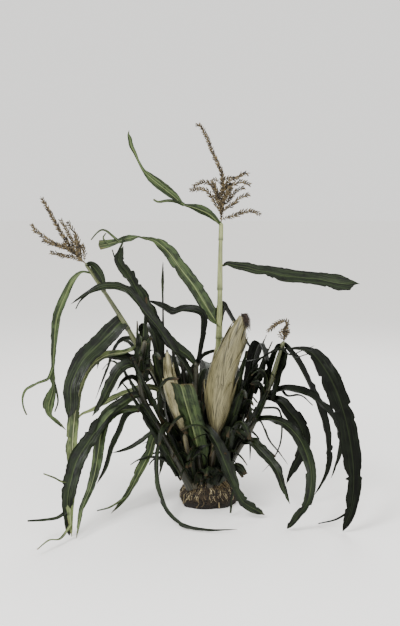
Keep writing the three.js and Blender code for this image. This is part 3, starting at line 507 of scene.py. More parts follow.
leaves = [
    dict(name="main_flag_leaf", tone="mid", on="main_stalk", at=675, heading=176, keel=18,
         roll=[-55, -62, -62, -70, -76, -76, -72, -70], ruffle=0.35, ragged=0.3,
         route=[[29, 26], [51, 37], [71, 44], [89, 49], [112, 68], [131, 83], [150, 98], [168, 113],
                [183, 128], [194, 147], [204, 169], [213, 187], [216, 203], [219, 213], [217, 223]],
         widths=[12, 21, 25, 13, 6, 20, 24, 23, 18, 8, 6, 8, 11, 10, 6, 2],
         strips=[dict(start=0.31, width=11, route=[[107, 56], [127, 58], [150, 55], [161, 61]])]),
    dict(name="main_right_leaf", on="main_stalk", at=582, heading=8, keel=10, roll=[60, 60, 62, 66],
         ruffle=0.6, curl=0.4, twist=0.4, ragged=0.8,
         route=[[7, -3], [16, 2], [36, -2], [65, -7], [94, -15], [119, -18], [148, -27], [183, -31],
                [218, -35], [240, -37], [267, -43], [295, -48], [318, -50], [330, -48], [345, -50]],
         widths=[8, 8, 13, 20, 25, 26, 30, 38, 33, 32, 34, 41, 41, 32, 12, 3]),
    dict(name="main_left_leaf", tone="mid", on="main_stalk", at=433, heading=188, keel=12, closing=2.0,
         roll=[-62, -64, -66, -66, -68, -70], ruffle=0.35, curl=0.3, twist=0.4, ragged=0.6,
         route=[[17, 27], [39, 63], [63, 102], [87, 133], [106, 159], [122, 181], [139, 197], [155, 208],
                [174, 213], [192, 217], [211, 214], [225, 211], [240, 206], [253, 203], [270, 199],
                [285, 197]],
         widths=[20, 33, 38, 38, 36, 34, 33, 27, 15, 10, 5, 18, 15, 12, 18, 22, 25],
         strips=[dict(start=0.88, width=7, route=[[258, 224], [267, 231], [277, 233], [288, 226],
                      [302, 210]]),
                 dict(start=0.94, width=6, route=[[274, 214], [267, 226]])]),
    dict(name="main_arched_leaf", tone="deep", on="main_stalk", at=425, heading=35, width=24, keel=12,
         roll=[40, 50],
         route=[[4, 48], [12, 60], [26, 42], [44, 16], [67, -15], [92, -47], [117, -74]]),
    dict(name="front_leaf", tone="mid", on="middle_shoot", at=85, heading=245, keel=12, closing=2.0,
         roll=[0, 0], ruffle=0.2, curl=0.15, twist=0.1, ragged=0.1,
         route=[[12, 58], [48, 132], [84, 195], [103, 229], [110, 236]],
         widths=[28, 48, 58, 58, 56, 55]),
    dict(name="front_right_leaf", on="middle_shoot", at=200, heading=300, sweep=34, keel=16, roll=[10, 25],
         ruffle=0.8, ragged=1.6,
         route=[[33, 5], [64, -15], [83, -43], [96, -75], [106, -105], [116, -134], [128, -160],
                [146, -173], [164, -182], [178, -191]],
         widths=[16, 20, 28, 34, 36, 29, 19, 29, 23, 18, 6],
         strips=[dict(start=0.66, width=10, turn=22, route=[[106, -150], [104, -176], [102, -192]])]),
    dict(name="middle_leaf_1", on="middle_shoot", at=340, heading=178, keel=18, roll=[-50, -58], ragged=1.6,
         route=[[17, 27], [62, 61], [96, 105], [115, 136], [152, 212], [182, 258], [170, 288]],
         widths=[14, 22, 28, 32, 34, 32, 25, 8],
         strips=[dict(start=0.9, width=8, route=[[184, 268], [172, 296], [168, 312]]),
                 dict(start=0.8, width=7, route=[[190, 262], [196, 280]])]),
    dict(name="middle_leaf_2", on="middle_shoot", at=300, heading=192, width=30, belly=0.5, keel=16,
         roll=[-40, -48, -44], ragged=1.6,
         route=[[25, 50], [58, 95], [87, 139], [118, 176], [140, 206], [162, 229], [207, 239], [245, 226],
                [289, 200]],
         strips=[dict(start=0.88, width=7, route=[[268, 206], [278, 188]])]),
    dict(name="middle_leaf_3", tone="deep", on="middle_shoot", at=350, heading=165, width=26, belly=0.7,
         keel=18, roll=[-30, -40],
         route=[[-9, 46], [-16, 94], [-14, 121], [30, 129], [57, 122], [87, 137], [123, 149]]),
    dict(name="left_leaf_1", on="left_shoot", at=585, heading=350, width=24, keel=12, roll=[50, 62],
         route=[[10, 1], [22, -10], [31, -23], [38, -38], [42, -54]]),
    dict(name="left_leaf_2", tone="mid", on="left_shoot", at=565, heading=195, keel=20, roll=[-50, -60],
         ruffle=0.4,
         route=[[24, 5], [34, -1], [48, -18], [62, -45], [74, -72], [82, -95], [88, -127], [91, -162],
                [93, -190], [95, -216], [96, -239], [95, -258], [99, -277], [106, -300], [107, -317],
                [102, -329], [88, -342], [68, -365]],
         widths=[8, 7, 11, 15, 19, 21, 21, 20, 15, 11, 8, 15, 10, 22, 29, 20, 9, 11, 4],
         strips=[dict(start=0.61, width=9, route=[[107, -241], [116, -245], [130, -249], [144, -256],
                      [158, -264], [165, -280], [165, -299], [161, -314], [157, -323]]),
                 dict(start=0.66, width=7, route=[[87, -273], [85, -297], [93, -320]])]),
    dict(name="left_broad_leaf", on="left_shoot", at=454, heading=204, sweep=22, keel=12, cup=16,
         roll=[-54, -70], ruffle=0.2, curl=0.25, twist=0.3, ragged=0.15,
         route=[[12, -8], [31, -25], [52, -42], [77, -61], [103, -80], [122, -101], [141, -128],
                [149, -148], [151, -170], [157, -189], [166, -205]],
         widths=[40, 42, 44, 44, 44, 43, 40, 36, 35, 33, 24, 5]),
    dict(name="left_leaf_3", tone="pale", on="left_shoot", at=390, heading=190, sweep=48, width=28,
         belly=0.7, keel=18, roll=[-30, -55], ruffle=0.7, curl=0.8, dry=0.12,
         route=[[32, -10], [80, -16], [118, -40], [143, -77], [170, -151], [189, -220], [203, -278],
                [230, -326], [253, -381]],
         strips=[dict(start=0.75, width=8, turn=38, route=[[237, -270], [257, -257], [288, -240]]),
                 dict(start=0.95, width=7, turn=47, route=[[286, -376], [320, -368], [356, -376]])]),
    dict(name="left_leaf_4", on="left_shoot", at=360, heading=185, width=26, keel=16, roll=[-40, -50],
         route=[[21, 2], [56, 7], [91, 11], [107, 4], [115, -20]]),
    dict(name="left_leaf_5", on="left_shoot", at=385, heading=170, width=18, keel=20, roll=[-30, -45],
         route=[[24, 25], [50, 15], [63, -7], [80, -52], [110, -123]]),
    dict(name="left_leaf_6", tone="pale", on="left_shoot", at=270, heading=172, width=20, keel=16,
         roll=[-40, -50],
         route=[[29, 19], [67, 15], [104, 2], [142, -17], [181, -40], [207, -52], [227, -78]]),
    dict(name="left_folded_leaf", on="left_shoot", at=305, heading=122, width=36, belly=0.6, blunt=0.6,
         keel=8, roll=[0, -12],
         route=[[6, 80], [26, 115], [46, 134], [66, 127], [72, 101], [68, 74]]),
    dict(name="upright_leaf", on="left_shoot", at=273, heading=98, keel=20, roll=[0, 20, -10, 10], curl=0.6,
         ragged=1.5,
         route=[[20, 60], [36, 140], [40, 200], [44, 240], [47, 268], [37, 296], [32, 316]],
         widths=[8, 6, 5, 4, 5, 8, 4, 3]),
    dict(name="short_left_leaf_1", on="short_left_shoot", at=335, heading=200, width=32, keel=18,
         roll=[-40, -58],
         route=[[24, 22], [48, 13], [65, -9], [79, -36], [91, -58], [116, -92]],
         strips=[dict(start=0.3, width=10, turn=-30, route=[[70, 26], [92, 6]])]),
    dict(name="short_left_leaf_2", on="short_left_shoot", at=270, heading=206, sweep=20, width=36,
         belly=0.6, blunt=0.3, keel=16, roll=[-30, -66],
         route=[[18, 14], [51, 0], [80, -15], [107, -35], [132, -60], [181, -112], [199, -146], [213, -180],
                [220, -216], [224, -266]],
         strips=[dict(start=0.86, width=9, turn=16, route=[[240, -224], [275, -222], [318, -214]])]),
    dict(name="short_left_leaf_3", on="short_left_shoot", at=240, heading=187, width=22, keel=20,
         roll=[-30, -50],
         route=[[29, 5], [50, -3], [72, -49], [89, -84], [104, -130], [126, -168]]),
    dict(name="short_left_leaf_4", on="short_left_shoot", at=200, heading=190, width=14, keel=14,
         roll=[-30, -30],
         route=[[17, -8], [41, -27], [65, -41], [88, -49], [112, -53]]),
    dict(name="short_left_leaf_5", tone="mid", on="short_left_shoot", at=245, heading=205, sweep=27,
         width=26, keel=18, roll=[-30, -50],
         route=[[44, 9], [92, 4], [123, -28], [138, -73], [153, -115], [172, -148], [207, -186],
                [240, -238]]),
    dict(name="short_left_leaf_6", on="short_left_shoot", at=285, heading=185, width=18, keel=18,
         roll=[-20, -40],
         route=[[9, 26], [21, 40], [42, 33], [60, 8]]),
    dict(name="low_left_leaf", tone="mid", on="left_shoot", at=205, heading=205, width=26, keel=18,
         roll=[-30, -50],
         route=[[48, -16], [60, -37], [70, -67], [91, -104], [132, -169], [168, -202]],
         strips=[dict(start=0.82, width=7, route=[[170, -186], [202, -190]])]),
    dict(name="floor_leaf_1", on="short_left_shoot", at=165, heading=215, sweep=102, width=13, keel=18,
         roll=[-20, 20], dry=0.25,
         route=[[21, 2], [38, -33], [56, -69], [77, -105], [100, -133], [134, -154], [176, -158],
                [222, -157]]),
    dict(name="right_folded_leaf", tone="deep", on="right_inner_shoot", at=240, heading=315, keel=8,
         roll=[-25, -22, -22, -25], ruffle=0.3, curl=0.2, twist=0.2,
         route=[[15, 48], [30, 112], [43, 147], [51, 156], [59, 149], [72, 117], [88, 71]],
         widths=[14, 28, 35, 37, 37, 37, 35, 22]),
    dict(name="right_leaf_1", tone="deep", on="right_shoot", at=395, heading=150, keel=14, roll=[-50, -70],
         route=[[9, -5], [18, -23], [27, -50], [37, -87], [45, -122]],
         widths=[12, 18, 23, 23, 20, 12],
         strips=[dict(start=0.02, width=38, turn=-130, route=[[10, -20], [-2, -60], [-13, -98],
                      [-23, -131]]),
                 dict(start=0.02, width=8, turn=55, route=[[25, -12], [52, -24], [82, -30], [113, -31]])]),
    dict(name="right_leaf_2", tone="deep", on="right_shoot", at=398, heading=15, width=30, belly=0.45,
         keel=18, roll=[40, 68],
         route=[[13, -13], [36, -43], [73, -112], [105, -191], [116, -241], [120, -284], [113, -324],
                [85, -378]]),
    dict(name="right_broad_leaf", tone="deep", on="right_front_shoot", at=285, heading=345, sweep=-20,
         keel=12, roll=[4, 6, 30, 70, 74, 70, 60], ruffle=0.4, twist=0.3,
         route=[[24, 50], [53, 85], [87, 104], [122, 110], [154, 111], [176, 102], [200, 77], [228, 36],
                [256, -26], [274, -85], [288, -156], [287, -233], [273, -282]],
         widths=[12, 10, 8, 7, 8, 18, 30, 40, 46, 46, 44, 38, 26, 8],
         strips=[dict(start=0.9, width=8, turn=-18, route=[[284, -233], [253, -260], [208, -280]]),
                 dict(start=0.24, width=9, turn=-5, route=[[120, 96], [151, 109], [176, 120]]),
                 dict(start=0.27, width=8, turn=-5, route=[[134, 92], [155, 98], [174, 104]])]),
    dict(name="right_leaf_3", tone="deep", on="right_shoot", at=270, heading=350, width=28, keel=16,
         roll=[20, 42],
         route=[[41, 19], [77, 16], [105, 5], [134, -16], [158, -44], [172, -74], [178, -111], [158, -193]],
         strips=[dict(start=0.12, width=12, turn=-5, route=[[50, 4], [84, 6], [112, -16]])]),
    dict(name="right_leaf_4", on="right_shoot", at=185, heading=335, sweep=-41, width=26, belly=0.5,
         blunt=0.5, keel=18, roll=[20, 46], ragged=1.6,
         route=[[19, 28], [55, 36], [93, 32], [128, 18], [157, -1], [205, -51], [223, -108], [212, -137],
                [186, -181]]),
    dict(name="right_leaf_5", tone="deep", on="right_shoot", at=265, heading=330, width=34, belly=0.45,
         keel=14, roll=[30, 66],
         route=[[40, -4], [64, -26], [85, -47], [100, -76], [100, -105], [86, -136], [71, -170],
                [58, -202]]),
    dict(name="right_leaf_6", on="right_shoot", at=150, heading=315, width=30, keel=18, roll=[15, 52],
         route=[[28, 14], [60, -2], [92, -22], [116, -45], [132, -75], [153, -112]]),
    dict(name="right_leaf_7", on="right_shoot", at=185, heading=20, width=12, keel=18, roll=[20, 40],
         route=[[24, 22], [51, -30], [78, -63], [103, -96]]),
    dict(name="right_leaf_8", on="right_shoot", at=240, heading=25, width=12, keel=18, roll=[20, 40],
         route=[[48, -8], [58, -50], [52, -98], [32, -132], [6, -158]]),
    dict(name="back_leaf_1", on="back_left_shoot", at=300, heading=118, width=38, keel=18, roll=[0, 20],
         route=[[24, 26], [64, 30], [108, -14], [134, -84], [142, -150]]),
    dict(name="back_leaf_2", on="back_left_shoot", at=255, heading=82, width=36, keel=18, roll=[0, -20],
         route=[[30, 40], [76, 40], [112, -30], [126, -120], [130, -200]]),
    dict(name="back_leaf_3", on="back_right_shoot", at=315, heading=84, width=38, keel=18, roll=[0, 20],
         route=[[24, 44], [60, 60], [96, 10], [112, -80], [116, -170]]),
    dict(name="back_leaf_4", on="back_right_shoot", at=235, heading=55, width=34, keel=18, roll=[0, 30],
         route=[[36, 34], [80, 26], [116, -44], [132, -130], [138, -196]]),
    dict(name="back_leaf_5", on="main_stalk", at=255, heading=96, width=40, keel=16, roll=[0, 20],
         route=[[30, 52], [80, 76], [136, 54], [188, -10], [226, -100], [240, -190]]),
    dict(name="back_leaf_6", on="back_left_shoot", at=145, heading=140, width=26, keel=20, roll=[0, 40],
         route=[[34, 20], [70, 0], [98, -50], [118, -120]]),
    dict(name="back_leaf_7", on="back_right_shoot", at=155, heading=100, width=26, keel=20, roll=[0, -30],
         route=[[34, 24], [74, 6], [110, -46], [132, -130]]),
]
bladeForm = {
    "rowGap": 3.0,
    "fewestRows": 8,
    "halfColumns": 8,
    "edgeThickness": 0.5,
    "ribThickness": (3.2, 0.8),  # at the collar and at the tip
    "ribHalf": 1.9,
    "ribSizes": (0.2, 1.15),  # the midrib is finer on a narrow blade, between these shares of its size
    "channel": 0.7,  # how deep the midrib is sunk into the upper face
    "fullHalf": 9.0,  # the half width at which a midrib has its full size
    "collarWidth": 0.55,
    "belly": 0.34,
    "tip": 0.08,
    "taperPower": 1.8,
    "cup": 66.0,  # the fold at the collar, where the blade clasps its stalk
    "cupLength": 17.0,
    "foldShares": (1.25, 0.75),  # how much of the keel's fold is kept by the midrib and by the edge
    "stripTip": 0.4,
    "ruffle": 26.0,  # how steeply the edges wave, in degrees
    "ruffleLengths": (31.0, 53.0, 88.0),
    "ruffleStretch": (0.8, 1.25),
    "ruffleDrift": (2.2, 90.0),  # how far the waves drift out of step, and over what length
    "ruffleShare": 0.62,  # what each of the waves adds
    "rufflePower": 2.5,
    "ruffleAmount": (0.45, 0.75, 70.0, 0.05, 1.2),  # a middle, a swing, the length of a turn and two limits
    "curl": 40.0,  # how far the edges roll in, in degrees
    "curlPower": 4,
    "curlAmount": (0.5, 0.9, 110.0, -0.4, 1.4),
    "calmFoot": 60.0,  # the length above the collar over which the edges begin to wave
    "widen": 1.3,  # the most that a rolled blade is widened to keep its outline
    "leastSpread": 0.3,
    "twist": 11.0,  # how far the blade twists to and fro, in degrees
    "twistTurn": 65.0,
    "twistFoot": 80.0,
    "uneven": ((0.05, 7.0), (0.06, 30.0)),  # shares of the width, and the lengths they change over
    "tearGap": 75.0,  # one torn step in each such length of edge
    "tearPlaces": (0.25, 0.99),
    "tearLength": 26.0,
    "tearLengths": (0.3, 1.5),  # how far one varies from the other, as a factor
    "tearDepth": 0.19,
    "tearDepths": (0.3, 1.6),
    "tearEase": (0.5, 1.8),
    "keptWidth": (0.2, 1.12),
    "closing": 14.0,  # the length over which a blunt tip comes to its ragged point
    "closingPower": 0.6,
    "point": 0.04,
    "dryFrom": 0.84,  # the tip is dry past this share of the blade's length
    "dryEdge": 0.92,  # and its edges past this share of its half width
    "drynesses": (0.5, 0.3),
    "dryEdges": (0.3, 1.0),
    "ribSpread": 0.09,  # the pale midrib's share of the half width, over the least that it measures
    "ribLeast": 0.25,
    "ribTaper": (1.1, 0.5),
}


def slowNoise(along, gap, dice):
    # a smooth wander between -1 and 1, with one turn about every gap
    knots = np.arange(-1, along[-1] / gap + 3)
    values = dice.uniform(-1, 1, len(knots))
    place = along / gap
    low = np.floor(place).astype(int)
    share = place - low
    share = share * share * (3 - 2 * share)
    return values[low + 1] * (1 - share) + values[low + 2] * share


def amountAlong(along, amount, dice):
    # a wander of its own middle and swing, kept between its limits
    middle, swing, gap, least, most = amount
    return np.clip(middle + swing * slowNoise(along, gap, dice), least, most)


def spotOnShoot(shoot, height):
    line = smoothLine(shoot["line"])
    return np.array([np.interp(height, line[:, 2], line[:, k]) for k in range(3)])


def routePlaces(start, route, headings):
    return [start + headingWay(h) * step[0] + np.array([0, 0, step[1]]) for step, h in zip(route, headings)]


def travelledShares(leaf):
    # the share of the blade's length at the collar and at each point of its route
    route = np.array([[0, 0]] + leaf["route"], float)
    travelled = np.concatenate([[0], np.cumsum(np.hypot(*np.diff(route, axis=0).T))])
    return route, travelled / travelled[-1]


def midribLine(leaf):
    start = spotOnShoot(shoots[leaf["on"]], leaf["at"])
    route, shares = travelledShares(leaf)
    return smoothLine(routePlaces(start, route, leaf["heading"] + leaf.get("sweep", 0) * shares))


def stripLine(leaf, midrib, strip):
    start = spotOnShoot(shoots[leaf["on"]], leaf["at"])
    headings = [leaf["heading"] + strip.get("turn", 0)] * len(strip["route"])
    first = alongLine(midrib, [strip["start"]])[0]
    return smoothLine(np.vstack([first, routePlaces(start, strip["route"], headings)]))


def bladeWidth(leaf, shares):
    if "widths" in leaf:
        return np.interp(shares, travelledShares(leaf)[1], leaf["widths"])
    belly = leaf.get("belly", bladeForm["belly"])
    tip = leaf.get("blunt", bladeForm["tip"])
    collar = bladeForm["collarWidth"]
    growing = collar + (1 - collar) * np.sin(np.clip(shares / belly, 0, 1) * np.pi / 2)
    rest = np.clip((shares - belly) / (1 - belly), 0, 1)
    return leaf["width"] * np.where(shares < belly, growing, 1 + (tip - 1) * rest ** bladeForm["taperPower"])


def tornEdge(along, ragged, dice):
    # the share of its width that one edge keeps: torn steps that run out again, and a fine unevenness
    form = bladeForm
    length = along[-1]
    keep = np.ones(len(along))
    for share, gap in form["uneven"]:
        keep += share * slowNoise(along, gap, dice)
    for _ in range(int(dice.poisson(ragged * length / form["tearGap"]))):
        spot = dice.uniform(*form["tearPlaces"]) * length
        reach = form["tearLength"] * dice.uniform(*form["tearLengths"])
        depth = form["tearDepth"] * dice.uniform(*form["tearDepths"]) * (0.5 + spot / length)
        past = (along - spot) * dice.choice((-1, 1))
        runOut = np.clip(1 - past / reach, 0, 1) ** dice.uniform(*form["tearEase"])
        keep -= depth * np.where(past > 0, runOut, 0)
    return np.clip(keep, *form["keptWidth"])


def edgeSlopes(leaf, fold, along, columns, dice):
    # how steeply each row rises from the midrib to one edge: its keel, its rolled margin and its ruffles
    form = bladeForm
    wave = np.zeros(len(along))
    drift, driftLength = form["ruffleDrift"]
    for waveLength in form["ruffleLengths"]:
        stretch = waveLength * dice.uniform(*form["ruffleStretch"])
        wander = drift * slowNoise(along, driftLength, dice)
        wave += np.sin(2 * np.pi * along / stretch + wander + dice.uniform(0, 6))
    amount = amountAlong(along, form["ruffleAmount"], dice)
    start = np.clip(along / form["calmFoot"], 0, 1)
    rise = start * amount * leaf.get("ruffle", 1.0) * form["ruffle"] * form["ruffleShare"]
    curl = start * leaf.get("curl", 1.0) * form["curl"] * amountAlong(along, form["curlAmount"], dice)
    near, far = form["foldShares"]
    return np.radians(fold[:, None] * (near + (far - near) * columns)
                      + curl[:, None] * columns ** form["curlPower"]
                      + (rise * wave)[:, None] * columns ** form["rufflePower"])


def bladeSide(leaf, half, fold, along, columns, dice):
    # from the midrib to one edge: how far out and up each column lies, and its slope
    form = bladeForm
    edge = tornEdge(along, leaf.get("ragged", 1.0), dice)
    slope = edgeSlopes(leaf, fold, along, columns, dice)
    gaps = np.diff(columns, prepend=0)
    out = np.cumsum(np.cos(slope) * gaps, axis=1)
    up = np.cumsum(np.sin(slope) * gaps, axis=1)
    widen = np.clip(1 / np.maximum(out.max(axis=1), form["leastSpread"]), 1, form["widen"])
    scale = (half * edge * np.where(along < 2 * form["cupLength"], 1, widen))[:, None]
    return out * scale, up * scale, slope


def bladeMarks(leaf, half, along, shares, signed, dice):
    form = bladeForm
    shape = (len(along), len(signed))
    tipDryness, edgeDryness = form["drynesses"]
    tip = np.clip((shares - form["dryFrom"]) / (1 - form["dryFrom"]), 0, 1)[:, None]
    edge = (np.abs(signed) > form["dryEdge"]) * dice.uniform(*form["dryEdges"])
    ribHalf = form["ribSpread"] * half + form["ribLeast"]
    ribHalf = ribHalf * np.interp(shares, [0, 1], form["ribTaper"])
    return {
        "across": signed[None, :] * (half * mm)[:, None],
        "along": overRows(along * mm, shape),
        "ribPlace": signed[None, :] * (half / ribHalf)[:, None],
        "dryness": np.broadcast_to(leaf.get("dry", 0.0) + tipDryness * tip + edgeDryness * edge, shape),
        "margin": np.broadcast_to(np.abs(signed)[None, :], shape),
        "leafNumber": np.full(shape, dice.uniform(0, 9)),
    }


def addBlade(name, line, heading, keel, rolls, widths, leaf, dice, isStrip=False):
    # a closed skin: the upper face from one edge to the other, then the lower face back again
    form = bladeForm
    rows = max(form["fewestRows"], int(runAlong(line)[-1] / leaf.get("rowGap", form["rowGap"])))
    shares = np.linspace(0, 1, rows)
    centres, ways, length = alongLine(line, shares)
    along = shares * length
    sides = carrySide(ways, (math.sin(math.radians(heading)), -math.cos(math.radians(heading)), 0))
    twist = leaf.get("twist", 1.0) * form["twist"] * slowNoise(along, form["twistTurn"], dice)
    roll = np.interp(shares, np.linspace(0, 1, len(rolls)), rolls)
    turn = np.radians(roll + twist * np.clip(along / form["twistFoot"], 0, 1))[:, None]
    across = sides * np.cos(turn) - np.cross(sides, ways) * np.sin(turn)
    face = np.cross(across, ways)
    half = widths(shares) / 2
    fold = np.full(rows, float(keel))
    if not isStrip:
        fold += (leaf.get("cup", form["cup"]) - keel) * np.exp(-(along / form["cupLength"]) ** 2)
        ending = (length - along) / leaf.get("closing", form["closing"])
        half = half * np.clip(ending, form["point"], 1) ** form["closingPower"]
    halfColumns = leaf.get("halfColumns", form["halfColumns"])
    columns = np.linspace(0, 1, halfColumns + 1)
    surface = {sign: bladeSide(leaf, half, fold, along, columns, dice) for sign in (-1, 1)}
    collarRib, tipRib = form["ribThickness"]
    ribThick = collarRib + (tipRib - collarRib) * shares
    ribThick = ribThick * np.clip(half / form["fullHalf"], *form["ribSizes"])
    upper = []
    lower = []
    order = [(-1, k) for k in range(halfColumns, 0, -1)] + [(1, k) for k in range(halfColumns + 1)]
    for sign, k in order:
        out, up, slope = (part[:, k] for part in surface[sign])
        middle = centres + across * (sign * out)[:, None] + face * up[:, None]
        normal = face * np.cos(slope)[:, None] - across * (sign * np.sin(slope))[:, None]
        near = np.exp(-(out / form["ribHalf"]) ** 2)
        channel = form["channel"] * near * np.clip(half / form["fullHalf"], 0, 1)
        upper.append(middle + normal * (form["edgeThickness"] / 2 - channel)[:, None])
        lower.append(middle - normal * (form["edgeThickness"] / 2 + ribThick * near)[:, None])
    places = np.stack(upper + lower[::-1] + upper[:1], axis=1)
    signed = np.array([sign * columns[k] for sign, k in order])
    signed = np.concatenate([signed, signed[::-1], signed[:1]])
    marks = bladeMarks(leaf, half, along, shares, signed, dice)
    return addSkin(name, places, marks, leafMaterials[leaf.get("tone", "dark")])


def addLeaf(leaf):
    dice = np.random.default_rng(sum(ord(letter) for letter in leaf["name"]) * 7 + leaf["at"])
    midrib = midribLine(leaf)
    pieces = [addBlade("blade", midrib, leaf["heading"], leaf["keel"], leaf["roll"],
                       lambda shares: bladeWidth(leaf, shares), leaf, dice)]
    for strip in leaf.get("strips", []):
        roll = float(np.interp(strip["start"], np.linspace(0, 1, len(leaf["roll"])), leaf["roll"]))
        pieces.append(addBlade("strip", stripLine(leaf, midrib, strip), leaf["heading"], leaf["keel"], [roll],
                               lambda shares: strip["width"] * (1 + (bladeForm["stripTip"] - 1) * shares),
                               leaf, dice, isStrip=True))
    return joinPieces(pieces, leaf["name"] + "_blade")


for leaf in leaves:
    settle(addLeaf(leaf), leaf["name"])
print("leaves made")


# Tassels: thin branches set with paired spikelets, and dangling anthers

tassels = {
    "main_tassel": dict(
        on="main_stalk",
        spike=[[0, 0, 0], [1, -2, 40], [3, -4, 80], [2, -4, 108], [-7, -6, 134], [-22, -8, 167],
               [-32, -10, 191], [-43, -12, 214], [-52, -13, 225], [-61, -14, 222]],
        branches=[
            [[-1, 0, 20], [-10, -4, 38], [-24, -8, 61], [-36, -10, 75], [-55, -12, 78], [-74, -12, 74]],
            [[-3, 0, 60], [-10, 4, 75], [-22, 8, 89], [-36, 12, 94], [-52, 14, 92], [-69, 14, 80]],
            [[-1, 0, 20], [-3, -2, 38], [-12, -6, 61], [-22, -9, 85]],
            [[-5, 0, 90], [-10, -3, 99], [-19, -6, 99], [-26, -8, 92]],
            [[-5, 0, 92], [2, 3, 99], [21, 6, 103], [37, 8, 103], [51, 9, 113], [60, 9, 115], [66, 9, 107]],
            [[-4, 0, 60], [-1, 0, 70], [11, -4, 80], [30, -8, 89], [51, -10, 94], [70, -11, 87]],
            [[-1, 0, 26], [3, 0, 38], [18, 5, 52], [35, 9, 73], [56, 12, 82]],
            [[0, 0, 14], [3, 0, 26], [26, -8, 42], [47, -14, 59], [68, -18, 66]],
            [[0, 0, 4], [8, -2, 9], [28, -6, 14], [52, -9, 24], [73, -11, 26], [94, -12, 18]],
            [[-1, 0, 30], [2, 0, 42], [11, 2, 61], [18, 3, 80], [28, 4, 96]],
            [[-1, 0, 30], [-5, 14, 50], [-9, 28, 64], [-13, 42, 62]],
            [[-1, 0, 40], [8, -8, 56], [16, -16, 70], [22, -22, 86]],
            [[-3, 0, 56], [8, 10, 76], [15, 20, 86], [24, 32, 86]],
            [[-3, 0, 50], [-10, -8, 66], [-16, -14, 82], [-20, -18, 96]],
            [[-1, 0, 36], [8, -3, 54], [17, -6, 66], [26, -8, 84]],
            [[-3, 0, 66], [4, -4, 82], [14, -6, 92], [22, -8, 104]]]),
    "left_tassel": dict(
        on="left_shoot",
        spike=[[0, 0, 0], [-11, -3, 9], [-22, -5, 25], [-38, -8, 48], [-49, -9, 64], [-62, -11, 87],
               [-73, -12, 108], [-86, -13, 133], [-97, -14, 152]],
        branches=[
            [[-6, -2, 8], [-17, 2, 39], [-19, 4, 57], [-26, 4, 73], [-35, 5, 85], [-41, 5, 96]],
            [[-13, -4, 16], [-28, -12, 53], [-39, -16, 76], [-46, -18, 89], [-53, -20, 101]],
            [[-11, -3, 11], [-33, -10, 30], [-56, -16, 41], [-79, -20, 53], [-97, -24, 67], [-110, -26, 78],
             [-117, -27, 92]],
            [[-20, -5, 22], [-47, 6, 37], [-70, 12, 41], [-88, 16, 46], [-102, 18, 53]],
            [[-4, 0, 3], [-20, 6, 9], [-34, 10, 14], [-52, 14, 16], [-70, 16, 21], [-84, 18, 25]],
            [[-2, 0, 2], [-1, 2, 21], [-4, 4, 35], [-8, 5, 44]],
            [[-17, -4, 18], [-33, -2, 30], [-42, -2, 39], [-54, -4, 46]],
            [[-10, -3, 10], [-14, -12, 30], [-12, -18, 48], [-17, -22, 64]],
            [[-8, -2, 8], [-12, 14, 24], [-18, 24, 38], [-28, 34, 48]]]),
    "right_tassel": dict(
        on="right_shoot",
        spike=[[0, 0, -4], [0, 0, 3], [0, -2, 17], [4, -4, 31], [7, -5, 41], [3, -5, 48], [-8, -5, 47],
               [-19, -4, 41], [-31, -4, 31], [-42, -3, 20]],
        branches=[
            [[0, 0, 2], [-7, -4, 10], [-10, -6, 20], [-4, -8, 28]],
            [[0, 0, 5], [9, 3, 16], [11, 4, 29]],
            [[0, 0, 2], [3, -6, 14], [-5, -9, 24]],
            [[0, 0, 4], [4, 6, 16], [2, 9, 26], [8, 10, 32]],
            [[0, 0, 8], [6, -5, 20], [12, -7, 26]]]),
}
tasselForm = {
    "spikeGirth": (3.2, 1.1),
    "branchGirth": (1.5, 0.7),
    "ranksOnSpike": 5,
    "ranksOnBranch": 4,
    "bareFoot": 6.0,
    "spikeletGap": 5.2,
    "spikelet": (4.0, 3.0, 12.0),
    "fullest": 0.3,  # a spikelet narrows above this share of its length
    "narrowing": 0.65,
    "narrowingPower": 1.2,
    "smallFoot": (0.5, 30.0),  # the size of the first spikelets, and how far up they reach full size
    "tipSize": 0.75,
    "sizes": (0.75, 1.1),
    "off": 0.8,  # how far a spikelet's foot stands off its branch's middle line
    "sway": 0.5,  # radians round its branch
    "lean": 36.0,
    "leans": (0.65, 1.35),
    "anther": (0.9, 0.7, 4.2),
    "antherShare": 0.35,
    "antherHeight": 0.8,
    "antherSway": 0.4,
}


def spikeletModel():
    # a husked grain shape, pointed at its tip, standing on the origin along Z
    bpy.ops.object.select_all(action="DESELECT")
    bpy.ops.mesh.primitive_uv_sphere_add(segments=6, ring_count=5, radius=0.5, location=(0, 0, 0.5))
    bpy.ops.object.transform_apply(location=True)
    model = bpy.context.object
    for vertex in model.data.vertices:
        past = max(vertex.co.z - tasselForm["fullest"], 0)
        width = 1.0 - tasselForm["narrowing"] * past ** tasselForm["narrowingPower"]
        vertex.co.x *= width
        vertex.co.y *= width
    return model


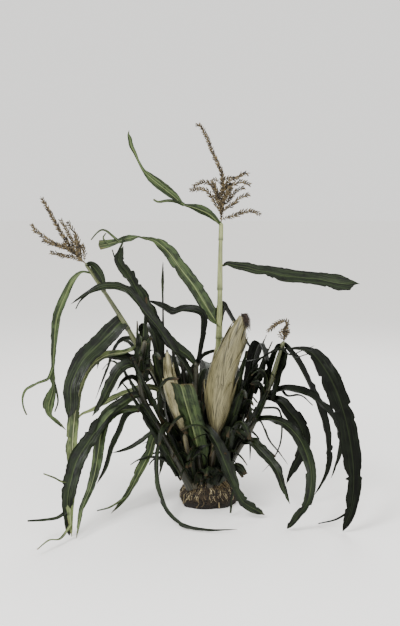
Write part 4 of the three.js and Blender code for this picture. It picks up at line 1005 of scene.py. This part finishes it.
def spikeletSeats(line, ranks, dice):
    # places, directions and sizes of the spikelets along one branch
    form = tasselForm
    length = runAlong(line)[-1]
    count = int((length - form["bareFoot"]) / form["spikeletGap"])
    shares = (form["bareFoot"] + np.arange(count) * form["spikeletGap"]) / length
    centres, ways, _ = alongLine(line, shares)
    sides = carrySide(ways, (0.3, 0.2, 1))
    seats = []
    smallest, fullAt = form["smallFoot"]
    for i in range(count):
        size = min(1, smallest + (1 - smallest) * shares[i] * length / fullAt)
        size = size * (1 + (form["tipSize"] - 1) * shares[i])
        across = np.cross(ways[i], sides[i])
        for rank in range(ranks):
            sway = dice.uniform(-form["sway"], form["sway"])
            angle = 2 * math.pi * rank / ranks + (i % 2) * math.pi / ranks + sway
            side = sides[i] * math.cos(angle) + across * math.sin(angle)
            lean = math.radians(form["lean"] * dice.uniform(*form["leans"]))
            way = ways[i] * math.cos(lean) + side * math.sin(lean)
            seats.append((centres[i] + side * form["off"], way, side, dice.uniform(*form["sizes"]) * size))
    return seats


def seatTurns(ways, sides):
    third = ways / np.linalg.norm(ways, axis=1)[:, None]
    first = sides - third * np.sum(sides * third, axis=1)[:, None]
    first = first / np.linalg.norm(first, axis=1)[:, None]
    return np.stack([first, np.cross(third, first), third], axis=2)


def addTassel(name, tassel, model):
    form = tasselForm
    dice = np.random.default_rng(len(tassel["branches"]) * 13)
    foot = np.array(shoots[tassel["on"]]["line"][-1], float)
    lines = [smoothLine(foot + np.array(steps)) for steps in [tassel["spike"]] + tassel["branches"]]
    girths = []
    seats = []
    for i, line in enumerate(lines):
        girth, ranks = ("branchGirth", "ranksOnBranch") if i else ("spikeGirth", "ranksOnSpike")
        girths.append(np.linspace(*form[girth], len(line)))
        seats += spikeletSeats(line, form[ranks], dice)
    stems = addStrands(name + "_stems", lines, girths, tasselMaterial)
    places, ways, sides, scales = (np.array(part) for part in zip(*seats))
    sizes = np.array(form["spikelet"])[None] * scales[:, None]
    chaff = copyMany(name + "_spikelets", model, places, seatTurns(ways, sides), sizes, tasselMaterial)
    hung = dice.random(len(places)) < form["antherShare"]
    tips = (places + ways * sizes[:, 2:3] * form["antherHeight"])[hung]
    down = np.array([0, 0, -1.0]) + dice.uniform(-form["antherSway"], form["antherSway"], (len(tips), 3))
    anthers = copyMany(name + "_anthers", model, tips, seatTurns(down, sides[hung]),
                       np.tile(form["anther"], (len(tips), 1)), tasselMaterial)
    return joinPieces([stems, chaff, anthers], name + "_chaff")


model = spikeletModel()
for name, tassel in tassels.items():
    settle(addTassel(name, tassel, model), name)
bpy.data.objects.remove(model)
print("tassels made")


# Ears: husks wrapped over one another on a shank, their tips standing off, with a tuft of dried silk
# shank is the share of the length below the husks. Each flap says where it starts, its heading round the
# ear, its length, its width and how far its tip stands off.

ears = {
    "large_ear": dict(
        line=[[4, -36, 51], [12, -42, 115], [19, -46, 191], [33, -49, 326], [58, -49, 401], [81, -48, 465]],
        shank=0.33, shankGirth=18, girth=64, profile=[0.3, 0.68, 0.94, 1, 0.93, 0.86, 0.75, 0.57, 0.3],
        flaps=[[0.34, 340, 150, 30, 12], [0.48, 225, 150, 36, 4], [0.58, 178, 90, 30, 9],
               [0.62, 10, 120, 28, 8], [0.36, 300, 120, 30, 5], [0.5, 278, 200, 44, 2],
               [0.36, 190, 110, 26, 7], [0.7, 330, 110, 30, 3]],
        tuft=34, tuftWay=[0.6, -0.4, 0.5], tuftFall=1.0, material=huskMaterial),
    "small_ear": dict(
        line=[[-30, -36, 49], [-46, -40, 125], [-60, -42, 199], [-88, -48, 309], [-96, -53, 383]],
        shank=0.44, shankGirth=13, girth=33, profile=[0.4, 0.72, 0.94, 1, 0.92, 0.78, 0.6, 0.4, 0.18],
        flaps=[[0.5, 200, 110, 18, 5], [0.62, 330, 100, 16, 4], [0.48, 280, 150, 20, 2]],
        tuft=9, tuftWay=[0.0, 0.0, 1.0], tuftFall=0.2, material=paleHuskMaterial),
}
huskForm = {
    "rowGap": 3.0,
    "fewestRows": 8,
    "around": 56,
    "ribs": 34,
    "ribHeight": 0.35,
    "crease": 1.0,
    "creases": (3, 9),  # how many there are round the ear, and how they wind along it
    "shoulder": 0.02,  # half the share of the length over which the shank widens into the ear
    "fullGirth": 60.0,  # a thinner ear has lower ribs and creases
    "wrapped": 7,
    "wrapStart": (-0.05, 0.03),  # from the shank's end, and how much further up each next husk starts
    "wrapEnd": (0.74, 0.22),  # where the first husk ends, and how much further up the last one does
    "wrapTurn": (40, 137.5),  # the first one's heading round the ear, and the turn from one to the next
    "wrapSpan": (170.0, 8.0),  # degrees round the ear, and how much narrower each next one is
    "wrapLift": (0.8, 0.7),  # layers above the ear, and what is added for the husk that starts lowest
    "wrapFlare": 3.0,
    "wrapPoint": 2.2,  # over 1 a husk keeps its width for longer before its tip
    "layer": 1.2,
    "flapLift": 1.6,
    "flapSpread": 1.15,
    "flapPoint": 3.0,
    "columns": 18,
    "thickness": 0.8,
    "tipWidth": 0.03,
    "sway": 0.12,
    "veins": 11,
    "wave": 1.4,
    "waveTurns": 9,
    "standFrom": 0.35,  # the share of its length past which a husk stands off
    "standPower": 1.6,
    "silkStrands": 300,
    "silkGirth": (1.2, 0.35),
    "silkReach": (0.45, 1.1),
    "silkFrom": 0.96,
    "silkFoot": (0.1, 0.12),  # how far up and out they leave the tip together, as shares of the tuft
    "silkSteps": (0.35, 0.7, 1.0),
    "silkLean": (0.5, 0.6),  # how far they lean over as a share of their reach, and how soon
    "silkTangle": 0.24,
}


def earGirth(ear, shares):
    shape = np.interp((shares - ear["shank"]) / (1 - ear["shank"]), np.linspace(0, 1, len(ear["profile"])),
                      ear["profile"])
    blend = np.clip((shares - ear["shank"] + huskForm["shoulder"]) / (2 * huskForm["shoulder"]), 0, 1)
    return (ear["shankGirth"] * (1 - blend) + ear["girth"] * shape * blend) / 2


def earLength(ear):
    return runAlong(smoothLine(ear["line"]))[-1]


def earFrame(ear, shares):
    centres, ways, _ = alongLine(smoothLine(ear["line"]), shares)
    sides = carrySide(ways, (1, 0, 0))
    return centres, ways, sides, np.cross(ways, sides)


def addEarBody(name, ear, dice):
    form = huskForm
    length = earLength(ear)
    shares = np.linspace(0, 1, int(length / form["rowGap"]))
    centres, _, sides, across = earFrame(ear, shares)
    angle = np.linspace(0, 2 * np.pi, form["around"] + 1)
    wrinkle = form["ribHeight"] * np.sin(angle * form["ribs"])[None, :]
    turns, wind = form["creases"]
    slow = form["crease"] * np.sin(turns * angle[None, :] + wind * shares[:, None] + dice.uniform(0, 6))
    isHusk = (shares > ear["shank"])[:, None]
    relief = (wrinkle + slow) * isHusk * np.clip(ear["girth"] / form["fullGirth"], 0.4, 1)
    reach = earGirth(ear, shares)[:, None] + relief
    marks = {
        "around": np.broadcast_to(np.abs(angle / np.pi - 1), reach.shape),
        "along": overRows(shares * length * mm, reach.shape),
        "sinceJoint": overRows(0.2 + 0.8 * shares, reach.shape),
    }
    places = ringPlaces(centres, sides, across, reach, angle)
    return addSkin(name + "_body", places, marks, ear["material"])


def addHusk(name, ear, start, end, middle, span, lift, flare, point, dice):
    # one husk leaf: wide round the ear at its foot, pointed at its tip, where it stands off
    form = huskForm
    length = earLength(ear)
    run = np.linspace(0, 1, max(form["fewestRows"], int((end - start) * length / form["rowGap"])))
    shares = start + (end - start) * run
    centres, _, sides, across = earFrame(ear, shares)
    columns = np.linspace(-1, 1, form["columns"] + 1)
    half = np.radians(span / 2) * np.clip(1 - run ** point, form["tipWidth"], 1)
    sway = form["sway"] * run[:, None] * dice.uniform(-1, 1)
    angle = np.radians(middle) + half[:, None] * columns[None, :] + sway
    rib = 0.5 * form["ribHeight"] * np.cos(columns * np.pi * form["veins"])[None, :]
    wave = form["wave"] * np.sin(run * form["waveTurns"] + dice.uniform(0, 6))[:, None]
    wave = wave * columns[None, :] ** 2 * run[:, None]
    past = np.clip(run - form["standFrom"], 0, 1) / (1 - form["standFrom"])
    reach = earGirth(ear, shares)[:, None] + lift + rib + wave
    reach = reach + flare * past[:, None] ** form["standPower"]
    outer, inner = (ringPlaces(centres, sides, across, reach + side * form["thickness"] / 2, angle)
                    for side in (1, -1))
    places = np.concatenate([outer, inner[:, ::-1], outer[:, :1]], axis=1)
    seam = np.concatenate([columns, columns[::-1], columns[:1]])
    marks = {
        "around": np.broadcast_to(seam[None, :] * 0.5 + middle / 90, places.shape[:2]),
        "along": overRows(shares * length * mm, places.shape[:2]),
        "sinceJoint": overRows(0.12 + run, places.shape[:2]),
    }
    return addSkin(name, places, marks, ear["material"])


def silkLines(ear, dice):
    # hairs that leave the tip together, then sink in a tangle over one side of it
    form = huskForm
    centres, ways, sides, across = earFrame(ear, np.array([form["silkFrom"], 1.0]))
    up, aside = form["silkFoot"]
    leanShare, leanPower = form["silkLean"]
    tuft = ear["tuft"]
    lean = np.array(ear["tuftWay"], float)
    lines = []
    for _ in range(form["silkStrands"]):
        angle = dice.uniform(0, 2 * math.pi)
        out = sides[1] * math.cos(angle) + across[1] * math.sin(angle)
        reach = tuft * dice.uniform(*form["silkReach"])
        steps = [centres[0] + out, centres[1] + ways[1] * up * tuft + out * aside * tuft]
        for share in form["silkSteps"]:
            fall = np.array([0, 0, -ear["tuftFall"] * reach * share ** 2])
            steps.append(centres[1] + lean * reach * leanShare * share ** leanPower + fall
                         + dice.uniform(-1, 1, 3) * form["silkTangle"] * tuft)
        lines.append(smoothLine(steps, 4))
    return lines


def addEar(name, ear):
    form = huskForm
    dice = np.random.default_rng(len(name))
    pieces = [addEarBody(name, ear, dice)]
    count = form["wrapped"]
    for i in range(count):
        start = ear["shank"] + form["wrapStart"][0] + form["wrapStart"][1] * i
        end = form["wrapEnd"][0] + form["wrapEnd"][1] * i / (count - 1)
        middle = form["wrapTurn"][0] + form["wrapTurn"][1] * i
        span = form["wrapSpan"][0] - form["wrapSpan"][1] * i
        lift = form["layer"] * (form["wrapLift"][0] + form["wrapLift"][1] * (count - i) / count)
        pieces.append(addHusk(name + "_husk", ear, start, end, middle, span, lift, form["wrapFlare"],
                              form["wrapPoint"], dice))
    length = earLength(ear)
    for start, heading, reach, width, flare in ear["flaps"]:
        span = math.degrees(width / (ear["girth"] / 2)) * form["flapSpread"]
        pieces.append(addHusk(name + "_flap", ear, start, min(start + reach / length, 1.0), heading, span,
                              form["flapLift"], flare, form["flapPoint"], dice))
    lines = silkLines(ear, dice)
    girths = [np.linspace(*form["silkGirth"], len(line)) for line in lines]
    pieces.append(addStrands(name + "_silk", lines, girths, silkMaterial))
    return joinPieces(pieces, name + "_husks")


for name, ear in ears.items():
    settle(addEar(name, ear), name)
print("ears made")


# Old leaves and split sheaths, which stand round the lower shoots and hang from them

oldLeafForm = {
    "perShoot": 20,
    "heights": (60.0, 330.0),
    "highest": 0.8,  # the share of its shoot's height that none starts above
    "crowding": 1.5,  # over 1 more of them start low down
    "earGap": 4.0,
    "freePoints": 4,  # the points of its line next to its foot, which may touch an ear
    "length": (80.0, 220.0),
    "width": (10.0, 32.0),
    "narrowing": 0.75,
    "splitShare": 0.45,  # the share of them that are split sheaths, which stay close to their shoot
    "hug": (0.4, 0.95),  # the share of its length that lies along its shoot, for a leaf and a sheath
    "lean": ((12.0, 46.0), (2.0, 9.0)),
    "droop": ((50.0, 160.0), (0.0, 200.0)),
    "droopPower": 1.3,
    "keel": (14, 44),  # the fold of a leaf and of a sheath, in degrees
    "roll": (-25, 25),
    "sag": 1.2,
    "off": 0.62,  # how far from its shoot's middle line it starts, as a share of the shoot's girth
    "steps": 9,
    "lowest": 6.0,
    "look": dict(tone="dark", ragged=2.0, curl=1.2, ruffle=0.8, twist=1.6, halfColumns=4, rowGap=5.0),
    "dry": (0, 0.4),
}


def touchesEar(line):
    # whether any of these places comes within reach of an ear
    shares = np.linspace(0, 1, 40)
    for ear in ears.values():
        axis = alongLine(smoothLine(ear["line"]), shares)[0]
        gap = np.linalg.norm(line[:, None, :] - axis[None, :, :], axis=2)
        isNear = gap < (earGirth(ear, shares) + oldLeafForm["earGap"])[None, :]
        if isNear[oldLeafForm["freePoints"]:, shares > ear["shank"]].any():
            return True
    return False


def oldLeafLine(shoot, isSheath, dice):
    form = oldLeafForm
    line = smoothLine(shoot["line"])
    top = shoot.get("oldTop", min(form["heights"][1], line[-1, 2] * form["highest"]))
    low = shoot.get("oldFrom", form["heights"][0])
    height = low + (top - low) * dice.random() ** form["crowding"]
    length = dice.uniform(*shoot.get("oldLength", form["length"]))
    heading = dice.uniform(*shoot.get("oldWays", (0, 360)))
    lean = dice.uniform(*form["lean"][isSheath])
    droop = dice.uniform(*form["droop"][isSheath])
    hug = form["hug"][isSheath]
    run = runAlong(line)
    centre, way, _ = alongLine(line, [np.interp(height, line[:, 2], run) / run[-1]])
    out = headingWay(heading)
    out = out - way[0] * out.dot(way[0])
    out = out / np.linalg.norm(out)
    spot = centre[0] + out * shoot["girth"][0] * form["off"]
    places = [spot]
    for step in range(1, form["steps"] + 1):
        part = step / form["steps"]
        past = max(0, part - hug)
        tilt = math.radians(lean * min(1, part / hug) + droop * past ** form["droopPower"])
        move = way[0] * math.cos(tilt) + out * math.sin(tilt) - np.array([0, 0, form["sag"]]) * past
        spot = spot + move / np.linalg.norm(move) * length / form["steps"]
        places.append(np.array([spot[0], spot[1], max(spot[2], form["lowest"])]))
    return smoothLine(places, 6), heading


def addOldLeaves(name, shoot):
    form = oldLeafForm
    dice = np.random.default_rng(sum(ord(letter) for letter in name))
    pieces = []
    for _ in range(shoot.get("oldCount", form["perShoot"])):
        isSheath = int(dice.random() < form["splitShare"])
        line, heading = oldLeafLine(shoot, isSheath, dice)
        if touchesEar(line):
            continue
        width = dice.uniform(*form["width"])
        look = dict(form["look"], dry=dice.uniform(*form["dry"]))
        roll = 180 + dice.uniform(*form["roll"])
        pieces.append(addBlade("old", line, heading, form["keel"][isSheath], [roll],
                               lambda shares: width * (1 - form["narrowing"] * shares ** 2), look, dice,
                               isStrip=True))
    return joinPieces(pieces, name + "_oldLeaves")


# Beside the shoots' own, short ones stand in front of the middle shoot's foot and the ears' shanks, round
# the top of the short left shoot, and in a tangle along the right-hand shoots.
bearers = {
    **shoots,
    "middle_foot": dict(line=shoots["middle_shoot"]["line"][:3], girth=[17, 16], oldWays=(215, 325),
                        oldTop=68, oldLength=(40, 85), oldCount=6),
    "large_ear_foot": dict(line=ears["large_ear"]["line"][:3], girth=[19, 18], oldWays=(200, 340),
                           oldTop=90, oldLength=(50, 110), oldCount=9),
    "small_ear_foot": dict(line=ears["small_ear"]["line"][:3], girth=[14, 13], oldWays=(200, 340),
                           oldTop=110, oldLength=(50, 120), oldCount=7),
    "short_left_top": dict(line=shoots["short_left_shoot"]["line"][3:], girth=[15, 12], oldFrom=335,
                           oldTop=405, oldLength=(26, 52), oldCount=12),
    "right_inner_top": dict(line=shoots["right_inner_shoot"]["line"][1:], girth=[15, 13], oldFrom=180,
                            oldTop=300, oldLength=(50, 120), oldCount=16),
    "right_middle": dict(line=shoots["right_shoot"]["line"][2:5], girth=[13, 12], oldWays=(110, 260),
                         oldFrom=192, oldTop=300, oldLength=(40, 100), oldCount=9),
}
for name, shoot in bearers.items():
    piece = addOldLeaves(name, shoot)
    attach(piece, "root")
print("old leaves made")


# Root ball: a lump of loam held by a mat of fine roots, under a fan of prop roots

rootBall = dict(width=140, depth=110, height=68, centreHeight=16, lumpiness=0.05)
soilForm = dict(around=96, rows=44, crumb=0.8, flatCrumb=0.4, crumbReach=60, floorShare=1.05)
propRoot = dict(count=16, reach=64, girth=(5.0, 3.0), startHeight=56, endHeight=4,
                arc=[[0.3, 1], [0.66, 0.88], [0.96, 0.46]])
rootFan = dict(count=110, steps=10, heights=(0.93, 0.995), girth=(1.15, 0.6), stand=(2.4, 3.8), wander=0.05)
fineRoot = dict(count=620, steps=9, heights=(0.35, 0.97), girth=(1.5, 0.5), stand=(0.5, 3.8), wander=0.16)
creep = dict(ends=(-0.25, 0.22), drops=(0.5, 1.5), rise=0.3, lowest=0.8, girths=(0.6, 1.2))


def lumpPlaces(angle, height):
    # the lump's surface: angle round Z, and height from -1 at the bottom to 1 at the top
    flat = np.sqrt(np.clip(1 - height ** 2, 0, 1))
    x = flat * np.cos(angle)
    y = flat * np.sin(angle)
    slow = np.sin(5 * x + 2 * height) * np.sin(6 * y - 1)
    quick = np.sin(9 * height + 4 * x) * np.cos(7 * y)
    swell = 1 + rootBall["lumpiness"] * (slow + 0.6 * quick)
    evened = 1 + rootBall["lumpiness"]
    rise = (rootBall["height"] - rootBall["centreHeight"]) / evened
    return np.stack([rootBall["width"] / 2 / evened * swell * x, rootBall["depth"] / 2 / evened * swell * y,
                     rootBall["centreHeight"] + rise * swell * height], axis=-1)


def addSoil():
    form = soilForm
    dice = np.random.default_rng(5)
    aboveCentre = rootBall["height"] - rootBall["centreHeight"]
    floorHeight = -rootBall["centreHeight"] / aboveCentre * form["floorShare"]
    heights = np.sin(np.linspace(math.asin(floorHeight), math.pi / 2, form["rows"]))
    angle = np.linspace(0, 2 * np.pi, form["around"] + 1)
    places = lumpPlaces(*np.meshgrid(angle, heights))
    crumb = dice.normal(0, form["crumb"], places.shape[:2])
    crumb[:, -1] = crumb[:, 0]
    crumb[-1] = 0
    places = places + places * np.array([1, 1, form["flatCrumb"]]) / form["crumbReach"] * crumb[..., None]
    places[..., 2] = np.maximum(places[..., 2], 0)
    places[0, :, 2] = 0
    return addSkin("root_ball_soil", places, {}, soilMaterial)


def propRootLine(number):
    # spread evenly round the crown, with a little unevenness that repeats on every run
    angle = 2 * math.pi * (number + 0.3 * math.sin(7 * number)) / propRoot["count"]
    reach = propRoot["reach"] * (0.94 + 0.1 * math.sin(3 * number + 1))
    oval = rootBall["depth"] / rootBall["width"]
    steps = [(share, propRoot["startHeight"] * rise) for share, rise in propRoot["arc"]]
    steps.append((1 + 0.08 * math.sin(5 * number), propRoot["endHeight"]))
    x, y = math.cos(angle) * reach, math.sin(angle) * reach
    return smoothLine([[x * share, y * share * oval, height] for share, height in steps], 8)


def creepingRoot(form, dice):
    # starts on the lump at one of these heights and wanders down it to the floor
    angle = dice.uniform(0, 2 * math.pi)
    height = dice.uniform(*form["heights"])
    drop = (height + dice.uniform(*creep["ends"])) / form["steps"]
    steps = []
    for _ in range(form["steps"]):
        spot = lumpPlaces(np.array(angle), np.array(height))
        out = np.array([math.cos(angle), math.sin(angle), creep["rise"]])
        spot = spot + out * dice.uniform(*form["stand"])
        steps.append([spot[0], spot[1], max(spot[2], creep["lowest"])])
        angle += dice.normal(0, form["wander"])
        height -= drop * dice.uniform(*creep["drops"])
    return smoothLine(steps, 3)


def addRoots(name, form, lines, girths, material):
    dice = np.random.default_rng(23)
    for _ in range(form["count"]):
        lines.append(creepingRoot(form, dice))
        girths.append(np.linspace(*form["girth"], len(lines[-1])) * dice.uniform(*creep["girths"]))
    return addStrands(name, lines, girths, material, roundness=1)


def addPropRoots():
    lines = [propRootLine(number) for number in range(propRoot["count"])]
    girths = [np.linspace(*propRoot["girth"], len(line)) for line in lines]
    return addRoots("root_ball_roots", rootFan, lines, girths, rootMaterial)


for piece in (addSoil(), addPropRoots(), addRoots("root_ball_hair", fineRoot, [], [], rootHairMaterial)):
    settle(piece, "root_ball")
print("root ball made")


# Floor, light and camera

stage = {
    "floorSize": 60, "floorColour": "#fcfbf9", "floorRoughness": 0.9,
    "worldColour": "#e8e7e4", "worldStrength": 1.7,
    "aim": (0.0, 0.0, 0.42),  # metres, as are the lamps' places and sizes
}
lamps = {
    "keyLamp": dict(place=(-1.3, -1.9, 2.3), size=0.9, watts=85),
    "fillLamp": dict(place=(1.9, -1.5, 1.3), size=1.6, watts=22),
    "backLamp": dict(place=(0.6, 1.9, 2.0), size=1.2, watts=30),
}


def addFloor():
    bpy.ops.mesh.primitive_plane_add(size=stage["floorSize"], location=(0, 0, 0))
    floor = bpy.context.object
    floor.name = "paleFloor"
    material, tree, shader, _ = newMaterial("paleFloor")
    setInputs(tree, shader, {"Base Color": stage["floorColour"], "Roughness": stage["floorRoughness"]})
    floor.data.materials.append(material)


def addLamp(name, place, size, watts):
    bpy.ops.object.light_add(type="AREA", location=place)
    lamp = bpy.context.object
    lamp.name = name
    lamp.data.size = size
    lamp.data.energy = watts
    direction = mathutils.Vector(stage["aim"]) - mathutils.Vector(place)
    lamp.rotation_euler = direction.to_track_quat("-Z", "Y").to_euler()


def addWorld():
    world = bpy.data.worlds.new("paleStudio")
    bpy.context.scene.world = world
    world.use_nodes = True
    setInputs(world.node_tree, world.node_tree.nodes["Background"],
              {"Color": stage["worldColour"], "Strength": stage["worldStrength"]})


addFloor()
for name, lamp in lamps.items():
    addLamp(name, **lamp)
addWorld()

# The camera stands 2.13 m in front of the root ball, a little above the plant's middle, tipped down by 7.16
# degrees. Its focal length is 900 pixels on a photo 626 pixels high.
view = {"place": (-0.019, -2.128, 0.735), "tip": 7.16, "focalPixels": 900, "longSide": 626, "sensor": 36}
bpy.ops.object.camera_add(location=view["place"], rotation=(math.radians(90 - view["tip"]), 0, 0))
camera = bpy.context.object
camera.data.sensor_width = view["sensor"]
camera.data.lens = view["focalPixels"] / view["longSide"] * view["sensor"]
bpy.context.scene.camera = camera
print("stage made")
